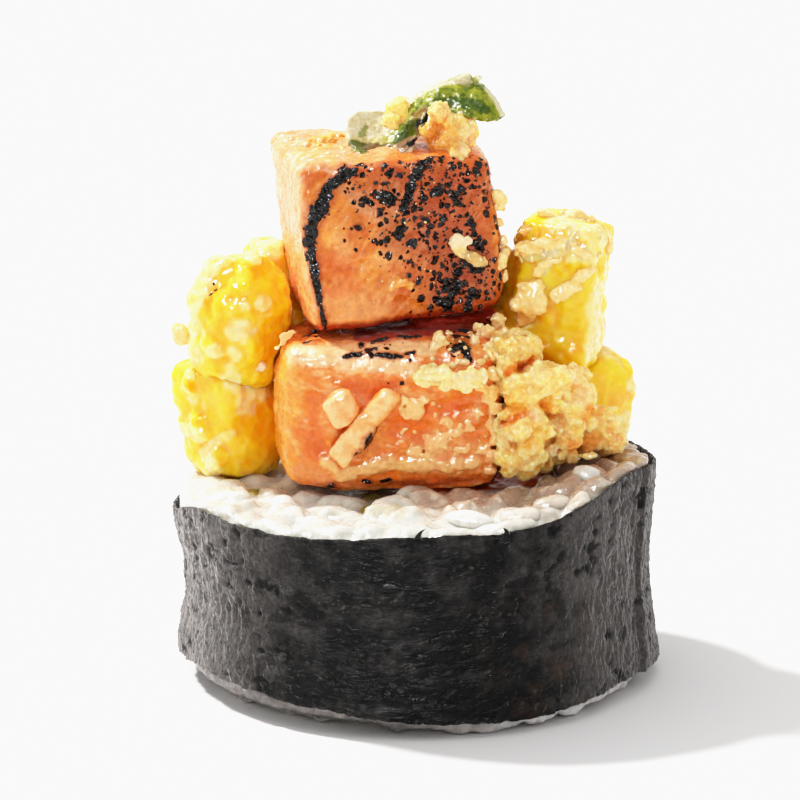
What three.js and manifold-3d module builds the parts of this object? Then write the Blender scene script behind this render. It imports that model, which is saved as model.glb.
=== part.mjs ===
// One thick slice of maki roll standing on its cut face, topped with two cubes of seared salmon,
// cubes of mango, clusters of fried batter crumbs and a curl of green pepper.
// Millimetres, +Z up. The origin is the middle of the roll's flat base, on the surface it stands on.
// The side that the diner sees is -Y, and +X is to the right of it.
import * as THREE from "three";
import { mergeVertices } from "three/addons/utils/BufferGeometryUtils.js";
import Module from "manifold-3d";

const wasm = await Module();
wasm.setup();

// ---- driving sizes ---------------------------------------------------------------------------
const ROLL_RADIUS = 27.15; // outside of the seaweed at mid height
const SEAWEED = 0.35; // thickness of the moist sheet
const LAP_FROM = 69; // degrees: free edge of the sheet, counted from the front towards +X
const LAP_SPAN = 24; // degrees that the sheet laps over its own start
const CONTACT = 0.2; // clearance between pieces that touch
const SEAWEED_STEPS = 72; // steps round the roll
const RICE_STEPS = 36;
// heights of the sheet's two cut edges, every 30 degrees from the back (-180) round by the left
const TOP_EDGE = [23.6, 22.9, 22.0, 21.0, 22.2, 21.9, 22.9, 23.3, 26.4, 25.0, 24.6, 24.2];
const BOTTOM_EDGE = [1.9, 2.2, 2.6, 3.0, 3.9, 3.1, 1.95, 1.65, 2.7, 1.8, 1.7, 1.8];
// height of the rice's lower rim above the table, same angles: lifted at the left, down elsewhere
const RICE_HEM = [0.6, 0.8, 1.3, 1.7, 2.2, 1.3, 0.35, 0.25, 0.5, 0.4, 0.4, 0.5];
// how far the sheet flares out at its top and bottom edges
const FLARE_TOP = [0.4, 0.5, 0.9, 1.25, 0.7, 0.3, 0.2, 0.3, 0.4, 0.55, 0.5, 0.4];
const FLARE_BOTTOM = [0.5, 0.5, 0.6, 0.9, 0.7, 0.5, 0.4, 0.4, 0.7, 1.2, 0.8, 0.6];
const RICE_CROWN = 1.0; // how far the cut rice stands above the sheet's edge

// ---- small tools -----------------------------------------------------------------------------
const rad = (deg) => (deg * Math.PI) / 180;
const lerp = (a, b, t) => a + (b - a) * t;
const smooth = (t) => {
  const c = Math.min(1, Math.max(0, t));
  return c * c * (3 - 2 * c);
};

// A value from a ring of 12 controls, smoothly, at an angle in radians counted from the front.
function around(ring, angle) {
  const s = (((angle / (2 * Math.PI)) * 12 + 6) % 12 + 12) % 12;
  const i = Math.floor(s), t = s - i;
  const p = [-1, 0, 1, 2].map((k) => ring[(i + k + 12) % 12]);
  return (
    p[1] +
    0.5 * t * (p[2] - p[0] + t * (2 * p[0] - 5 * p[1] + 4 * p[2] - p[3] + t * (3 * (p[1] - p[2]) + p[3] - p[0])))
  );
}

function hash(i, j, k) {
  let h = (i * 374761393 + j * 668265263 + k * 2147483647 + 1274126177) | 0;
  h = Math.imul(h ^ (h >>> 13), 1274126177);
  h ^= h >>> 16;
  return ((h >>> 0) / 4294967295) * 2 - 1;
}

// Smooth noise from -1 to 1.
function noise(x, y, z) {
  const i = Math.floor(x), j = Math.floor(y), k = Math.floor(z);
  const u = smooth(x - i), v = smooth(y - j), w = smooth(z - k);
  const at = (a, b, c) => hash(i + a, j + b, k + c);
  return lerp(
    lerp(lerp(at(0, 0, 0), at(1, 0, 0), u), lerp(at(0, 1, 0), at(1, 1, 0), u), v),
    lerp(lerp(at(0, 0, 1), at(1, 0, 1), u), lerp(at(0, 1, 1), at(1, 1, 1), u), v),
    w,
  );
}

// An indexed geometry from points and triangles.
function geometryOf(points, faces) {
  const g = new THREE.BufferGeometry();
  g.setAttribute("position", new THREE.Float32BufferAttribute(points.flat(), 3));
  g.setIndex(faces.flat());
  return g;
}

function solidOf(geometry) {
  const g = geometry.clone();
  g.deleteAttribute("normal");
  g.deleteAttribute("uv");
  const m = mergeVertices(g, 1e-4);
  return new wasm.Manifold(
    new wasm.Mesh({ numProp: 3, vertProperties: m.attributes.position.array, triVerts: new Uint32Array(m.index.array) }),
  );
}

// The largest body of a solid, as a geometry for a mesh.
function geometryFrom(solid) {
  const parts = solid.decompose().sort((a, b) => b.volume() - a.volume());
  const m = parts[0].getMesh();
  const g = new THREE.BufferGeometry();
  const v = new Float32Array(m.numVert * 3);
  for (let i = 0; i < m.numVert; i++) v.set(m.vertProperties.subarray(i * m.numProp, i * m.numProp + 3), i * 3);
  g.setAttribute("position", new THREE.BufferAttribute(v, 3));
  g.setIndex(new THREE.BufferAttribute(new Uint32Array(m.triVerts), 1));
  g.computeVertexNormals();
  return g;
}

// The same surface moved out along its normals, by a distance and by uneven relief.
function grown(geometry, by, relief = 0, scale = 4, seed = 0) {
  const g = geometry.clone();
  g.computeVertexNormals();
  const p = g.attributes.position, n = g.attributes.normal;
  for (let i = 0; i < p.count; i++) {
    const d = by + relief * noise(p.getX(i) / scale + seed, p.getY(i) / scale - seed, p.getZ(i) / scale + 2 * seed);
    p.setXYZ(i, p.getX(i) + n.getX(i) * d, p.getY(i) + n.getY(i) * d, p.getZ(i) + n.getZ(i) * d);
  }
  return g;
}

// A chunk cut by a knife: a box with rounded edges, its faces a little crowned.
// size is its three sides, round its edge radius; map takes a point of it, as -1..1 on each axis, to its place.
function chunk({ size, round, map, lines = [-1, -0.88, -0.6, 0, 0.6, 0.88, 1], crown = 0 }) {
  const half = size.map((s) => s / 2), n = lines.length - 1;
  const points = [], faces = [], index = new Map();
  const vertex = (c) => {
    const key = c.join(",");
    if (index.has(key)) return index.get(key);
    const p = c.map((t, a) => lines[t] * half[a]);
    const inner = p.map((v, a) => Math.sign(v) * Math.min(Math.abs(v), half[a] - round));
    const out = new THREE.Vector3(...p.map((v, a) => v - inner[a])).normalize().multiplyScalar(round);
    const q = inner.map((v, a) => (v + out.getComponent(a)) / half[a]);
    const bulge = q.map((v, a) => v * (1 + crown * (1 - q[(a + 1) % 3] ** 2) * (1 - q[(a + 2) % 3] ** 2)));
    points.push(map(bulge));
    index.set(key, points.length - 1);
    return points.length - 1;
  };
  for (let axis = 0; axis < 3; axis++)
    for (const side of [0, n])
      for (let i = 0; i < n; i++)
        for (let j = 0; j < n; j++) {
          const at = (a, b) => {
            const c = [0, 0, 0];
            c[axis] = side;
            c[(axis + 1) % 3] = a;
            c[(axis + 2) % 3] = b;
            return vertex(c);
          };
          const [a, b, c, d] = [at(i, j), at(i + 1, j), at(i + 1, j + 1), at(i, j + 1)];
          if (side) faces.push([a, b, c], [a, c, d]);
          else faces.push([a, c, b], [a, d, c]);
        }
  return geometryOf(points, faces);
}

// Places a chunk by its middle, its turn about X, Y and Z in degrees, and a taper towards the top.
function placed(centre, size, turn, taper = 0) {
  const e = new THREE.Euler(rad(turn[0]), rad(turn[1]), rad(turn[2]), "ZYX");
  return (q) => {
    const k = 1 - taper * (q[2] + 1) * 0.5;
    const v = new THREE.Vector3((q[0] * size[0] * k) / 2, (q[1] * size[1] * k) / 2, (q[2] * size[2]) / 2).applyEuler(e);
    return [v.x + centre[0], v.y + centre[1], v.z + centre[2]];
  };
}

// Places a chunk by its eight corners: left and right, front and back, bottom and top.
function cornered(c) {
  return (q) => {
    const [u, v, w] = q.map((t) => (t + 1) / 2);
    return [0, 1, 2].map((a) =>
      lerp(
        lerp(lerp(c.lfb[a], c.rfb[a], u), lerp(c.lbb[a], c.rbb[a], u), v),
        lerp(lerp(c.lft[a], c.rft[a], u), lerp(c.lbt[a], c.rbt[a], u), v),
        w,
      ),
    );
  };
}

// ---- seaweed ---------------------------------------------------------------------------------
// Outside radius of the sheet, at an angle from the front and a share of its height.
function sheetRadius(angle, t) {
  const flare = around(FLARE_TOP, angle) * smooth((t - 0.55) / 0.45) + around(FLARE_BOTTOM, angle) * smooth((0.42 - t) / 0.42);
  return (
    ROLL_RADIUS + flare + 0.35 * Math.cos(2 * angle + 0.6) + 0.22 * Math.cos(3 * angle - 1) +
    0.16 * noise(Math.sin(angle) * 3.2, Math.cos(angle) * 3.2, t * 1.6)
  );
}

// Share of one more layer that the lap adds: a crisp free edge, and a soft step over the sheet's start.
function lap(angle) {
  const from = rad(LAP_FROM), to = rad(LAP_FROM + LAP_SPAN);
  const a = ((angle % (2 * Math.PI)) + 2 * Math.PI) % (2 * Math.PI);
  if (a < from || a > to + rad(9)) return 0;
  return 1 - smooth((a - to) / rad(9));
}

function seaweed() {
  const angles = [];
  for (let i = 0; i < SEAWEED_STEPS; i++) angles.push((2 * Math.PI * i) / SEAWEED_STEPS);
  angles.push(rad(LAP_FROM) - 0.004, rad(LAP_FROM) + 0.004);
  angles.sort((a, b) => a - b);
  const rows = [0, 0.3, 0.7, 1];
  const points = [], faces = [];
  for (const a of angles) {
    const lo = around(BOTTOM_EDGE, a), hi = around(TOP_EDGE, a);
    const ring = [
      ...rows.map((t) => [sheetRadius(a, t) + lap(a) * SEAWEED, lerp(lo, hi, t)]),
      ...rows.map((t) => [sheetRadius(a, t) - SEAWEED, lerp(lo, hi, t)]).reverse(),
    ];
    for (const [r, z] of ring) points.push([r * Math.sin(a), -r * Math.cos(a), z]);
  }
  const m = rows.length * 2, n = angles.length;
  for (let i = 0; i < n; i++)
    for (let j = 0; j < m; j++) {
      const a = i * m + j, b = ((i + 1) % n) * m + j, c = ((i + 1) % n) * m + ((j + 1) % m), d = i * m + ((j + 1) % m);
      faces.push([a, b, c], [a, c, d]);
    }
  return geometryOf(points, faces);
}

// ---- rice ------------------------------------------------------------------------------------
// Top of the cut rice: level with the sheet's edge at the rim, crowned inside it and lumpy with grains.
function riceTop(x, y) {
  const r = Math.hypot(x, y), a = Math.atan2(x, -y);
  const rim = around(TOP_EDGE, a), s = Math.min(1, r / ROLL_RADIUS);
  const level = lerp(23.0 + 0.03 * x, rim, s ** 3);
  const crown = RICE_CROWN * smooth((1.0 - s) / 0.16);
  return level + crown + 0.45 * smooth((1.0 - s) / 0.1) * noise(x / 3.1, y / 3.1, 5);
}

function rice() {
  const points = [], faces = [];
  const wall = (a, t) => sheetRadius(a, t) - SEAWEED - CONTACT;
  const rings = [];
  const ring = (f) => rings.push(f);
  ring((a) => [0.5 * wall(a, 0), 0]);
  ring((a) => [0.86 * wall(a, 0) - 0.25 * around(RICE_HEM, a), 0]);
  ring((a) => [0.945 * wall(a, 0), 0.4 * around(RICE_HEM, a)]);
  ring((a) => [wall(a, 0) - 0.25 + 0.2 * noise(9 * a, 2, 1), around(RICE_HEM, a) + 0.15]);
  ring((a) => [wall(a, 0) - 0.05, around(BOTTOM_EDGE, a)]);
  ring((a) => [wall(a, 0.35), lerp(around(BOTTOM_EDGE, a), around(TOP_EDGE, a), 0.35)]);
  ring((a) => [wall(a, 0.75), lerp(around(BOTTOM_EDGE, a), around(TOP_EDGE, a), 0.75)]);
  ring((a) => [wall(a, 1), around(TOP_EDGE, a) - 0.1]);
  ring((a) => [0.985 * wall(a, 1), around(TOP_EDGE, a) + 0.55]);
  for (const k of [0.93, 0.82, 0.67, 0.47, 0.24])
    ring((a) => {
      const r = k * wall(a, 1);
      return [r, riceTop(r * Math.sin(a), -r * Math.cos(a))];
    });
  for (const f of rings)
    for (let i = 0; i < RICE_STEPS; i++) {
      const a = (2 * Math.PI * i) / RICE_STEPS, [r, z] = f(a);
      points.push([r * Math.sin(a), -r * Math.cos(a), z]);
    }
  for (let j = 0; j < rings.length - 1; j++)
    for (let i = 0; i < RICE_STEPS; i++) {
      const a = j * RICE_STEPS + i, b = j * RICE_STEPS + ((i + 1) % RICE_STEPS);
      faces.push([a, b, b + RICE_STEPS], [a, b + RICE_STEPS, a + RICE_STEPS]);
    }
  const low = points.push([0, 0, 0]) - 1, high = points.push([0, 0, riceTop(0, 0)]) - 1;
  const last = (rings.length - 1) * RICE_STEPS;
  for (let i = 0; i < RICE_STEPS; i++) {
    const k = (i + 1) % RICE_STEPS;
    faces.push([low, k, i], [high, last + i, last + k]);
  }
  return geometryOf(points, faces);
}

// ---- fillings that run through the roll --------------------------------------------------------
// A bar of the outline given, from the base up to its own top.
function filling({ at, size, turn, power, top, seed }) {
  const shape = new THREE.Shape(), steps = 26;
  for (let i = 0; i < steps; i++) {
    const a = (2 * Math.PI * i) / steps, c = Math.cos(a), s = Math.sin(a);
    const k = 1 + 0.06 * noise(2 * c + seed, 2 * s, seed);
    const x = Math.sign(c) * Math.abs(c) ** (2 / power) * (size[0] / 2) * k;
    const y = Math.sign(s) * Math.abs(s) ** (2 / power) * (size[1] / 2) * k;
    const w = rad(turn);
    const px = at[0] + x * Math.cos(w) - y * Math.sin(w), py = at[1] + x * Math.sin(w) + y * Math.cos(w);
    if (i) shape.lineTo(px, py);
    else shape.moveTo(px, py);
  }
  shape.closePath();
  return new THREE.ExtrudeGeometry(shape, { depth: top, bevelEnabled: false, steps: 1, curveSegments: 1 });
}
const FILLINGS = {
  filling_avocado: { at: [-10.8, -5.6], size: [25, 12.5], turn: -55, power: 3.2, top: 22.0, seed: 3 },
  filling_salmon: { at: [7.6, -2.2], size: [17, 12.5], turn: 8, power: 3.4, top: 23.0, seed: 8 },
  filling_cucumber: { at: [7.4, 11.4], size: [20, 8.5], turn: -22, power: 3.0, top: 23.6, seed: 12 },
};

// ---- toppings ----------------------------------------------------------------------------------
const SALMON_LOWER = {
  size: [26, 19, 17], round: 3.1, crown: 0.055,
  corners: {
    lfb: [-15.0, -8.4, 22.8], rfb: [9.8, -9.8, 23.5], rft: [9.2, -10.0, 40.2], lft: [-15.8, -9.6, 39.8],
    lbb: [-16.4, 9.4, 23.2], rbb: [9.2, 9.4, 24.2], rbt: [8.8, 9.2, 41.0], lbt: [-16.2, 9.4, 40.3],
  },
};
const SALMON_UPPER = {
  size: [22, 20, 19], round: 2.0, crown: 0.02,
  corners: {
    lfb: [-11.9, -6.6, 40.5], rfb: [10.4, -2.2, 43.2], rft: [8.4, -2.4, 61.1], lft: [-13.8, -6.8, 60.4],
    lbb: [-14.8, 12.6, 41.8], rbb: [7.6, 15.4, 44.4], rbt: [6.0, 15.6, 61.2], lbt: [-18.0, 12.6, 62.0],
  },
};
const MANGO = {
  mango_left_lower: { at: [-21.7, 4.4, 29.2], size: [8.1, 9.0, 13.8], turn: [-4, -6, 42], round: 1.9, taper: -0.18, seed: 2 },
  mango_left_upper: { at: [-20.5, 2.2, 40.8], size: [10.5, 10.2, 14.7], turn: [4, 9, 22], round: 4.0, taper: 0, seed: 5 },
  mango_back_left: { at: [-17.4, 11.6, 42.0], size: [5.7, 9.0, 13.0], turn: [0, 3, 10], round: 2.1, taper: 0, seed: 7 },
  mango_right_lower: { at: [19.7, 6.2, 30.6], size: [9.2, 9.6, 12.4], turn: [0, 9, 25], round: 2.9, taper: 0, seed: 9 },
  mango_right_upper: { at: [16.4, 2.8, 44.1], size: [9.7, 8.9, 17.0], turn: [-3, 5, -17], round: 1.5, taper: 0, seed: 11 },
};
// Lumps of each crumb cluster: place and radius.
const CRUMBS = {
  crumbs_right: [
    [11.4, -6.4, 38.9, 2.9], [11.2, -9.6, 35.6, 2.8], [14.4, -8.6, 35.2, 3.3], [17.4, -5.8, 35.2, 2.3], [17.2, -5.4, 31.6, 3.4],
    [12.0, -8.8, 31.2, 3.3], [11.8, -8.2, 27.8, 3.0], [14.8, -6.0, 28.2, 3.4], [14.8, -1.4, 33.2, 4.8], [16.4, 0.6, 29.0, 4.4],
    [21.2, -1.2, 28.5, 3.1],
  ],
  crumb_top: [
    [3.1, 1.2, 62.7, 2.5], [5.4, 1.5, 63.0, 1.9], [4.4, -0.6, 61.3, 1.6], [2.4, -0.9, 65.2, 1.35], [1.2, -0.4, 63.4, 1.5],
  ],
  crumb_behind: [[-2.0, 8.4, 63.0, 1.9], [-2.9, 7.8, 64.6, 1.5], [-1.4, 8.0, 65.2, 1.5]],
};
const STRIP = { from: [-9.4, 27.3], to: [-2.6, 35.6], width: 3.0, depth: 2.0 }; // pale strip on the lower cube's front, as X and Z
const PALE_CHUNK = { at: [-8.6, 33.3], size: [3.8, 2.4, 4.0] };
const FLAKE = { at: [3.7, 36.9], size: [8.2, 2.2, 2.6], turn: -4 }; // long crumb across the lower cube's front

// The green curl, station by station: X and Z of its middle, how far it reaches front to back, and how much
// higher its back edge stands than its front edge.
const CURL = [
  [-8.0, 63.5, 2.6, 1.0], [-7.4, 62.5, 6.0, 2.2], [-6.2, 61.9, 7.2, 2.6], [-4.4, 61.7, 7.6, 2.8], [-2.6, 61.9, 7.0, 3.0],
  [-1.0, 62.7, 6.0, 3.4], [0.2, 64.1, 5.2, 3.4], [1.5, 65.6, 4.6, 3.0], [3.2, 66.7, 4.4, 3.2], [5.0, 67.2, 4.4, 4.0],
  [6.6, 66.9, 4.2, 3.6], [8.0, 66.0, 3.8, 3.0], [9.2, 64.9, 3.0, 1.6], [9.9, 64.2, 1.6, 0.4],
];
const CURL_THICK = 1.35, CURL_Y = [1.0, 3.6]; // its middle, front to back, at its two ends

function curl(extra = 0) {
  const path = new THREE.CatmullRomCurve3(CURL.map(([x, z]) => new THREE.Vector3(x, 0, z)));
  const stations = 18, sides = 8, points = [], faces = [];
  for (let i = 0; i <= stations; i++) {
    const s = i / stations, p = path.getPoint(s), t = path.getTangent(s);
    const at = s * (CURL.length - 1), j = Math.min(CURL.length - 2, Math.floor(at));
    const [deep, rise] = [2, 3].map((k) => lerp(CURL[j][k], CURL[j + 1][k], at - j));
    const span = new THREE.Vector3(0, deep, rise); // from its front edge to its back edge
    const normal = span.clone().cross(t).normalize(); // across its thickness, upwards
    const end = Math.sqrt(Math.max(0.05, 1 - Math.abs(2 * s - 1) ** 6));
    for (let k = 0; k < sides; k++) {
      const a = (2 * Math.PI * (k + 0.5)) / sides, c = Math.cos(a), h = Math.sin(a);
      const wide = 0.53 * Math.sign(c) * Math.abs(c) ** 0.7;
      const thick = (CURL_THICK * 0.5 * end + extra) * Math.sign(h) * Math.abs(h) ** 0.7;
      const cup = 3.4 * wide * wide * end * (1 - s); // its edges turn up where it lies on the fish
      points.push([
        p.x + normal.x * (thick + cup),
        lerp(...CURL_Y, s) + span.y * wide + normal.y * (thick + cup),
        p.z + span.z * wide + normal.z * (thick + cup),
      ]);
    }
  }
  for (let i = 0; i < stations; i++)
    for (let k = 0; k < sides; k++) {
      const a = i * sides + k, b = i * sides + ((k + 1) % sides);
      faces.push([a, a + sides, b + sides], [a, b + sides, b]);
    }
  const cap = (row) => {
    const c = [0, 0, 0];
    for (let k = 0; k < sides; k++) for (let j = 0; j < 3; j++) c[j] += points[row * sides + k][j] / sides;
    return points.push(c) - 1;
  };
  const first = cap(0), last = cap(stations);
  for (let k = 0; k < sides; k++) {
    const n = (k + 1) % sides;
    faces.push([first, k, n], [last, stations * sides + n, stations * sides + k]);
  }
  const g = geometryOf(points, faces);
  return solidOf(g).volume() < 0 ? geometryOf(points, faces.map(([a, b, c]) => [a, c, b])) : g;
}

// ---- build -------------------------------------------------------------------------------------
// Every piece is cut clear of the pieces made before it, so that they touch without running into each other.
const COLOURS = {
  seaweed: { color: 0x1b1a1b, roughness: 0.55, metalness: 0 },
  rice: { color: 0xeceae2, roughness: 0.4, metalness: 0 },
  avocado: { color: 0xa9a263, roughness: 0.6, metalness: 0 },
  salmon: { color: 0xe8823f, roughness: 0.35, metalness: 0 },
  filling: { color: 0xc44a12, roughness: 0.45, metalness: 0 },
  cucumber: { color: 0x7d9a3c, roughness: 0.4, metalness: 0 },
  mango: { color: 0xf9b81a, roughness: 0.35, metalness: 0 },
  crumb: { color: 0xf2c777, roughness: 0.75, metalness: 0 },
  green: { color: 0x7c8f3a, roughness: 0.4, metalness: 0 },
  pale: { color: 0xf3c79c, roughness: 0.45, metalness: 0 },
};
const materials = Object.fromEntries(Object.entries(COLOURS).map(([k, v]) => [k, new THREE.MeshStandardMaterial({ name: k, ...v })]));

const group = new THREE.Group();
const blocked = []; // grown copies of the pieces made so far

function add(name, material, solid, clearance) {
  for (const b of blocked) if (b.name !== name) solid = solid.subtract(b.solid);
  const mesh = new THREE.Mesh(geometryFrom(solid), materials[material]);
  mesh.name = name;
  group.add(mesh);
  if (clearance) blocked.push({ name, solid: clearance });
  return mesh;
}

// fillings first: the rice is packed round them
const bars = Object.entries(FILLINGS).map(([name, f]) => {
  const plain = filling(f);
  const wide = filling({ ...f, size: f.size.map((s) => s + 2 * CONTACT), top: 80 });
  wide.translate(0, 0, -5);
  return { name, solid: solidOf(plain), wide: solidOf(wide) };
});

// cubes of salmon
const cube = (s, by) => {
  const g = chunk({ size: s.size, round: s.round, crown: s.crown, map: cornered(s.corners) });
  return grown(g, by, 0.22, 3.6, 3);
};
const lowerSolid = solidOf(cube(SALMON_LOWER, 0)), lowerClear = solidOf(cube(SALMON_LOWER, CONTACT));
const upperSolid = solidOf(cube(SALMON_UPPER, 0)), upperClear = solidOf(cube(SALMON_UPPER, CONTACT));
add("salmon_lower", "salmon", lowerSolid, lowerClear);
add("salmon_upper", "salmon", upperSolid, upperClear);

// cubes of mango
for (const [name, m] of Object.entries(MANGO)) {
  const make = (by) => {
    const g = chunk({ size: m.size, round: m.round, crown: 0.05, map: placed(m.at, m.size, m.turn, m.taper), lines: [-1, -0.82, -0.3, 0.3, 0.82, 1] });
    return grown(g, by, 0.35, 3.2, m.seed);
  };
  add(name, "mango", solidOf(make(0)), solidOf(make(CONTACT)));
}

// rice, round the fillings and pressed by what stands on it
const riceSolid = bars.reduce((s, b) => s.subtract(b.wide), solidOf(rice()));
add("rice", "rice", riceSolid, null);
const riceClear = solidOf(grown(rice(), CONTACT));
for (const b of bars) {
  let s = b.solid;
  for (const other of bars) if (other !== b && other.name < b.name) s = s.subtract(other.wide);
  add(b.name, { filling_avocado: "avocado", filling_salmon: "filling", filling_cucumber: "cucumber" }[b.name], s, null);
}
add("seaweed", "seaweed", solidOf(seaweed()), null);
blocked.push({ name: "rice", solid: riceClear });

// clusters of crumbs
for (const [name, lumps] of Object.entries(CRUMBS)) {
  const make = (by) => {
    const balls = lumps.map(([x, y, z, r], i) => {
      const g = chunk({
        size: [2 * r, 2 * r, 2 * r], round: r * 0.98, lines: r > 2.1 ? [-1, -0.45, 0.45, 1] : [-1, 0, 1],
        map: placed([x, y, z], [2 * r, 2 * r * 0.94, 2 * r * 0.9], [17 * i, 31 * i, 47 * i]),
      });
      return solidOf(grown(g, by, 0.22 * r, 1.5, i + 1));
    });
    return balls.reduce((a, b) => a.add(b));
  };
  add(name, "crumb", make(0), make(CONTACT));
}

// the small pieces that lie on the lower cube's front
{
  const { from, to, width, depth } = STRIP;
  const long = Math.hypot(to[0] - from[0], to[1] - from[1]), tilt = Math.atan2(to[1] - from[1], to[0] - from[0]);
  const make = (by) =>
    grown(
      chunk({
        size: [long, depth, width], round: 0.9, lines: [-1, -0.7, 0.7, 1],
        map: (q) => {
          const x = (q[0] * long) / 2, z = (q[2] * width * (1 - 0.25 * q[0])) / 2;
          return [
            (from[0] + to[0]) / 2 + x * Math.cos(tilt) - z * Math.sin(tilt),
            -11.3 - 0.35 * q[0] + (q[1] * depth) / 2 + 0.5 * q[0] * q[0],
            (from[1] + to[1]) / 2 + x * Math.sin(tilt) + z * Math.cos(tilt),
          ];
        },
      }),
      by, 0.15, 2, 4,
    );
  add("salmon_strip", "pale", solidOf(make(0)), solidOf(make(CONTACT)));
}
const bit = (name, material, size, at, turn, y, round) => {
  const make = (by) =>
    grown(chunk({ size, round, lines: [-1, -0.6, 0.6, 1], map: placed([at[0], y, at[1]], size, turn) }), by, 0.2, 1.6, 6);
  add(name, material, solidOf(make(0)), solidOf(make(CONTACT)));
};
bit("pale_chunk", "pale", PALE_CHUNK.size, PALE_CHUNK.at, [0, -28, 0], -11.2, 1.1);
bit("crumb_flake", "crumb", FLAKE.size, FLAKE.at, [0, -FLAKE.turn, 0], -11.4, 0.9);

// the green curl on top
add("green_curl", "green", solidOf(curl()), null);

export default group;
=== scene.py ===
# A slice of maki roll with seared salmon, mango, fried crumbs and a green curl, on a plain pale floor.
# Shapes are worked out in millimetres and stored in metres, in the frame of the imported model.
import math
import time

import bpy
import numpy as np
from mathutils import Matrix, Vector
from mathutils.bvhtree import BVHTree


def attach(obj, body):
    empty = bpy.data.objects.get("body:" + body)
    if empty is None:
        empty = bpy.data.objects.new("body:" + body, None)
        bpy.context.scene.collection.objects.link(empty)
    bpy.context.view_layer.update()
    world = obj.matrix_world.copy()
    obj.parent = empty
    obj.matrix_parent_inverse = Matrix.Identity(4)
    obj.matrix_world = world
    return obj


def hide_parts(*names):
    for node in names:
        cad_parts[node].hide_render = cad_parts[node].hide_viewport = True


T0 = time.time()
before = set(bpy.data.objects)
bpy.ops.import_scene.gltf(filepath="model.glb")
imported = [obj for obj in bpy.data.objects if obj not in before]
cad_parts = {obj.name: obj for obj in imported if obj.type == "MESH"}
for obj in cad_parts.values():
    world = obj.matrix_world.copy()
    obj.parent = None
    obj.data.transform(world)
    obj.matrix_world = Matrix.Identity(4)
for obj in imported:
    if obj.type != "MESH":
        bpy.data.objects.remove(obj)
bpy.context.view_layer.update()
MM = 0.001


def lap_time(label):
    print(f"[{time.time() - T0:6.1f} s] {label}")


# ---- numbers: steps, mixes, noise ------------------------------------------------------------------
def sm(a, b, x):
    t = np.clip((x - a) / (b - a), 0.0, 1.0)
    return t * t * (3 - 2 * t)


def srgb(*c):
    c = np.asarray(c, float) / 255.0
    return np.where(c <= 0.04045, c / 12.92, ((c + 0.055) / 1.055) ** 2.4)


def mix(a, b, t):
    t = np.asarray(t)
    if t.ndim == 1:
        t = t[:, None]
    return a + (b - a) * t


GRADS = np.array(
    [[1, 1, 0], [-1, 1, 0], [1, -1, 0], [-1, -1, 0], [1, 0, 1], [-1, 0, 1], [1, 0, -1], [-1, 0, -1],
     [0, 1, 1], [0, -1, 1], [0, 1, -1], [0, -1, -1], [1, 1, 0], [-1, 1, 0], [0, -1, 1], [0, -1, -1]], float)


def hash3(ix, iy, iz, seed):
    h = (ix * 374761393 + iy * 668265263 + iz * 2147483629 + seed * 974634777) & 0xFFFFFFFF
    h = ((h ^ (h >> 13)) * 1274126177) & 0xFFFFFFFF
    h = ((h ^ (h >> 16)) * 2246822519) & 0xFFFFFFFF
    return (h ^ (h >> 15)) & 0xFFFFFFFF


def gn(p, seed=0):
    """Smooth gradient noise, about -1 to 1."""
    i = np.floor(p).astype(np.int64)
    f = p - i
    u = f * f * f * (f * (f * 6 - 15) + 10)
    out = np.zeros(len(p))
    for dx in (0, 1):
        wx = u[:, 0] if dx else 1 - u[:, 0]
        for dy in (0, 1):
            wy = u[:, 1] if dy else 1 - u[:, 1]
            for dz in (0, 1):
                wz = u[:, 2] if dz else 1 - u[:, 2]
                g = GRADS[hash3(i[:, 0] + dx, i[:, 1] + dy, i[:, 2] + dz, seed) & 15]
                out += wx * wy * wz * (g[:, 0] * (f[:, 0] - dx) + g[:, 1] * (f[:, 1] - dy) + g[:, 2] * (f[:, 2] - dz))
    return out * 1.35


def fbm(p, octaves=4, seed=0, gain=0.5):
    out, a, tot = 0.0, 1.0, 0.0
    for k in range(octaves):
        out = out + a * gn(p * (2.03**k), seed + 17 * k)
        tot += a
        a *= gain
    return out / tot * 1.5


def ridge(p, octaves=3, seed=0, gain=0.55):
    out, a, tot = 0.0, 1.0, 0.0
    for k in range(octaves):
        out = out + a * (1 - np.abs(gn(p * (2.1**k), seed + 31 * k))) ** 3
        tot += a
        a *= gain
    return out / tot


def cells(p, seed=0, jitter=0.9):
    """Distances to the nearest and second nearest scattered points, and a random number for the nearest."""
    i = np.floor(p).astype(np.int64)
    f1 = np.full(len(p), 9.0)
    f2 = np.full(len(p), 9.0)
    rid = np.zeros(len(p))
    for dx in (-1, 0, 1):
        for dy in (-1, 0, 1):
            for dz in (-1, 0, 1):
                h = hash3(i[:, 0] + dx, i[:, 1] + dy, i[:, 2] + dz, seed)
                q = np.stack([(h & 1023), ((h >> 10) & 1023), ((h >> 20) & 1023)], 1) / 1023.0
                c = i + [dx, dy, dz] + 0.5 + (q - 0.5) * jitter
                d = np.sqrt(((p - c) ** 2).sum(1))
                near = d < f1
                f2 = np.where(near, f1, np.minimum(f2, d))
                rid = np.where(near, ((h >> 5) & 0xFFFF) / 65535.0, rid)
                f1 = np.where(near, d, f1)
    return f1, f2, rid


def warp(p, size, amount, seed):
    return p + amount * np.stack([gn(p / size + 7.1, seed), gn(p / size + 31.7, seed + 1), gn(p / size - 19.3, seed + 2)], 1)


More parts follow.
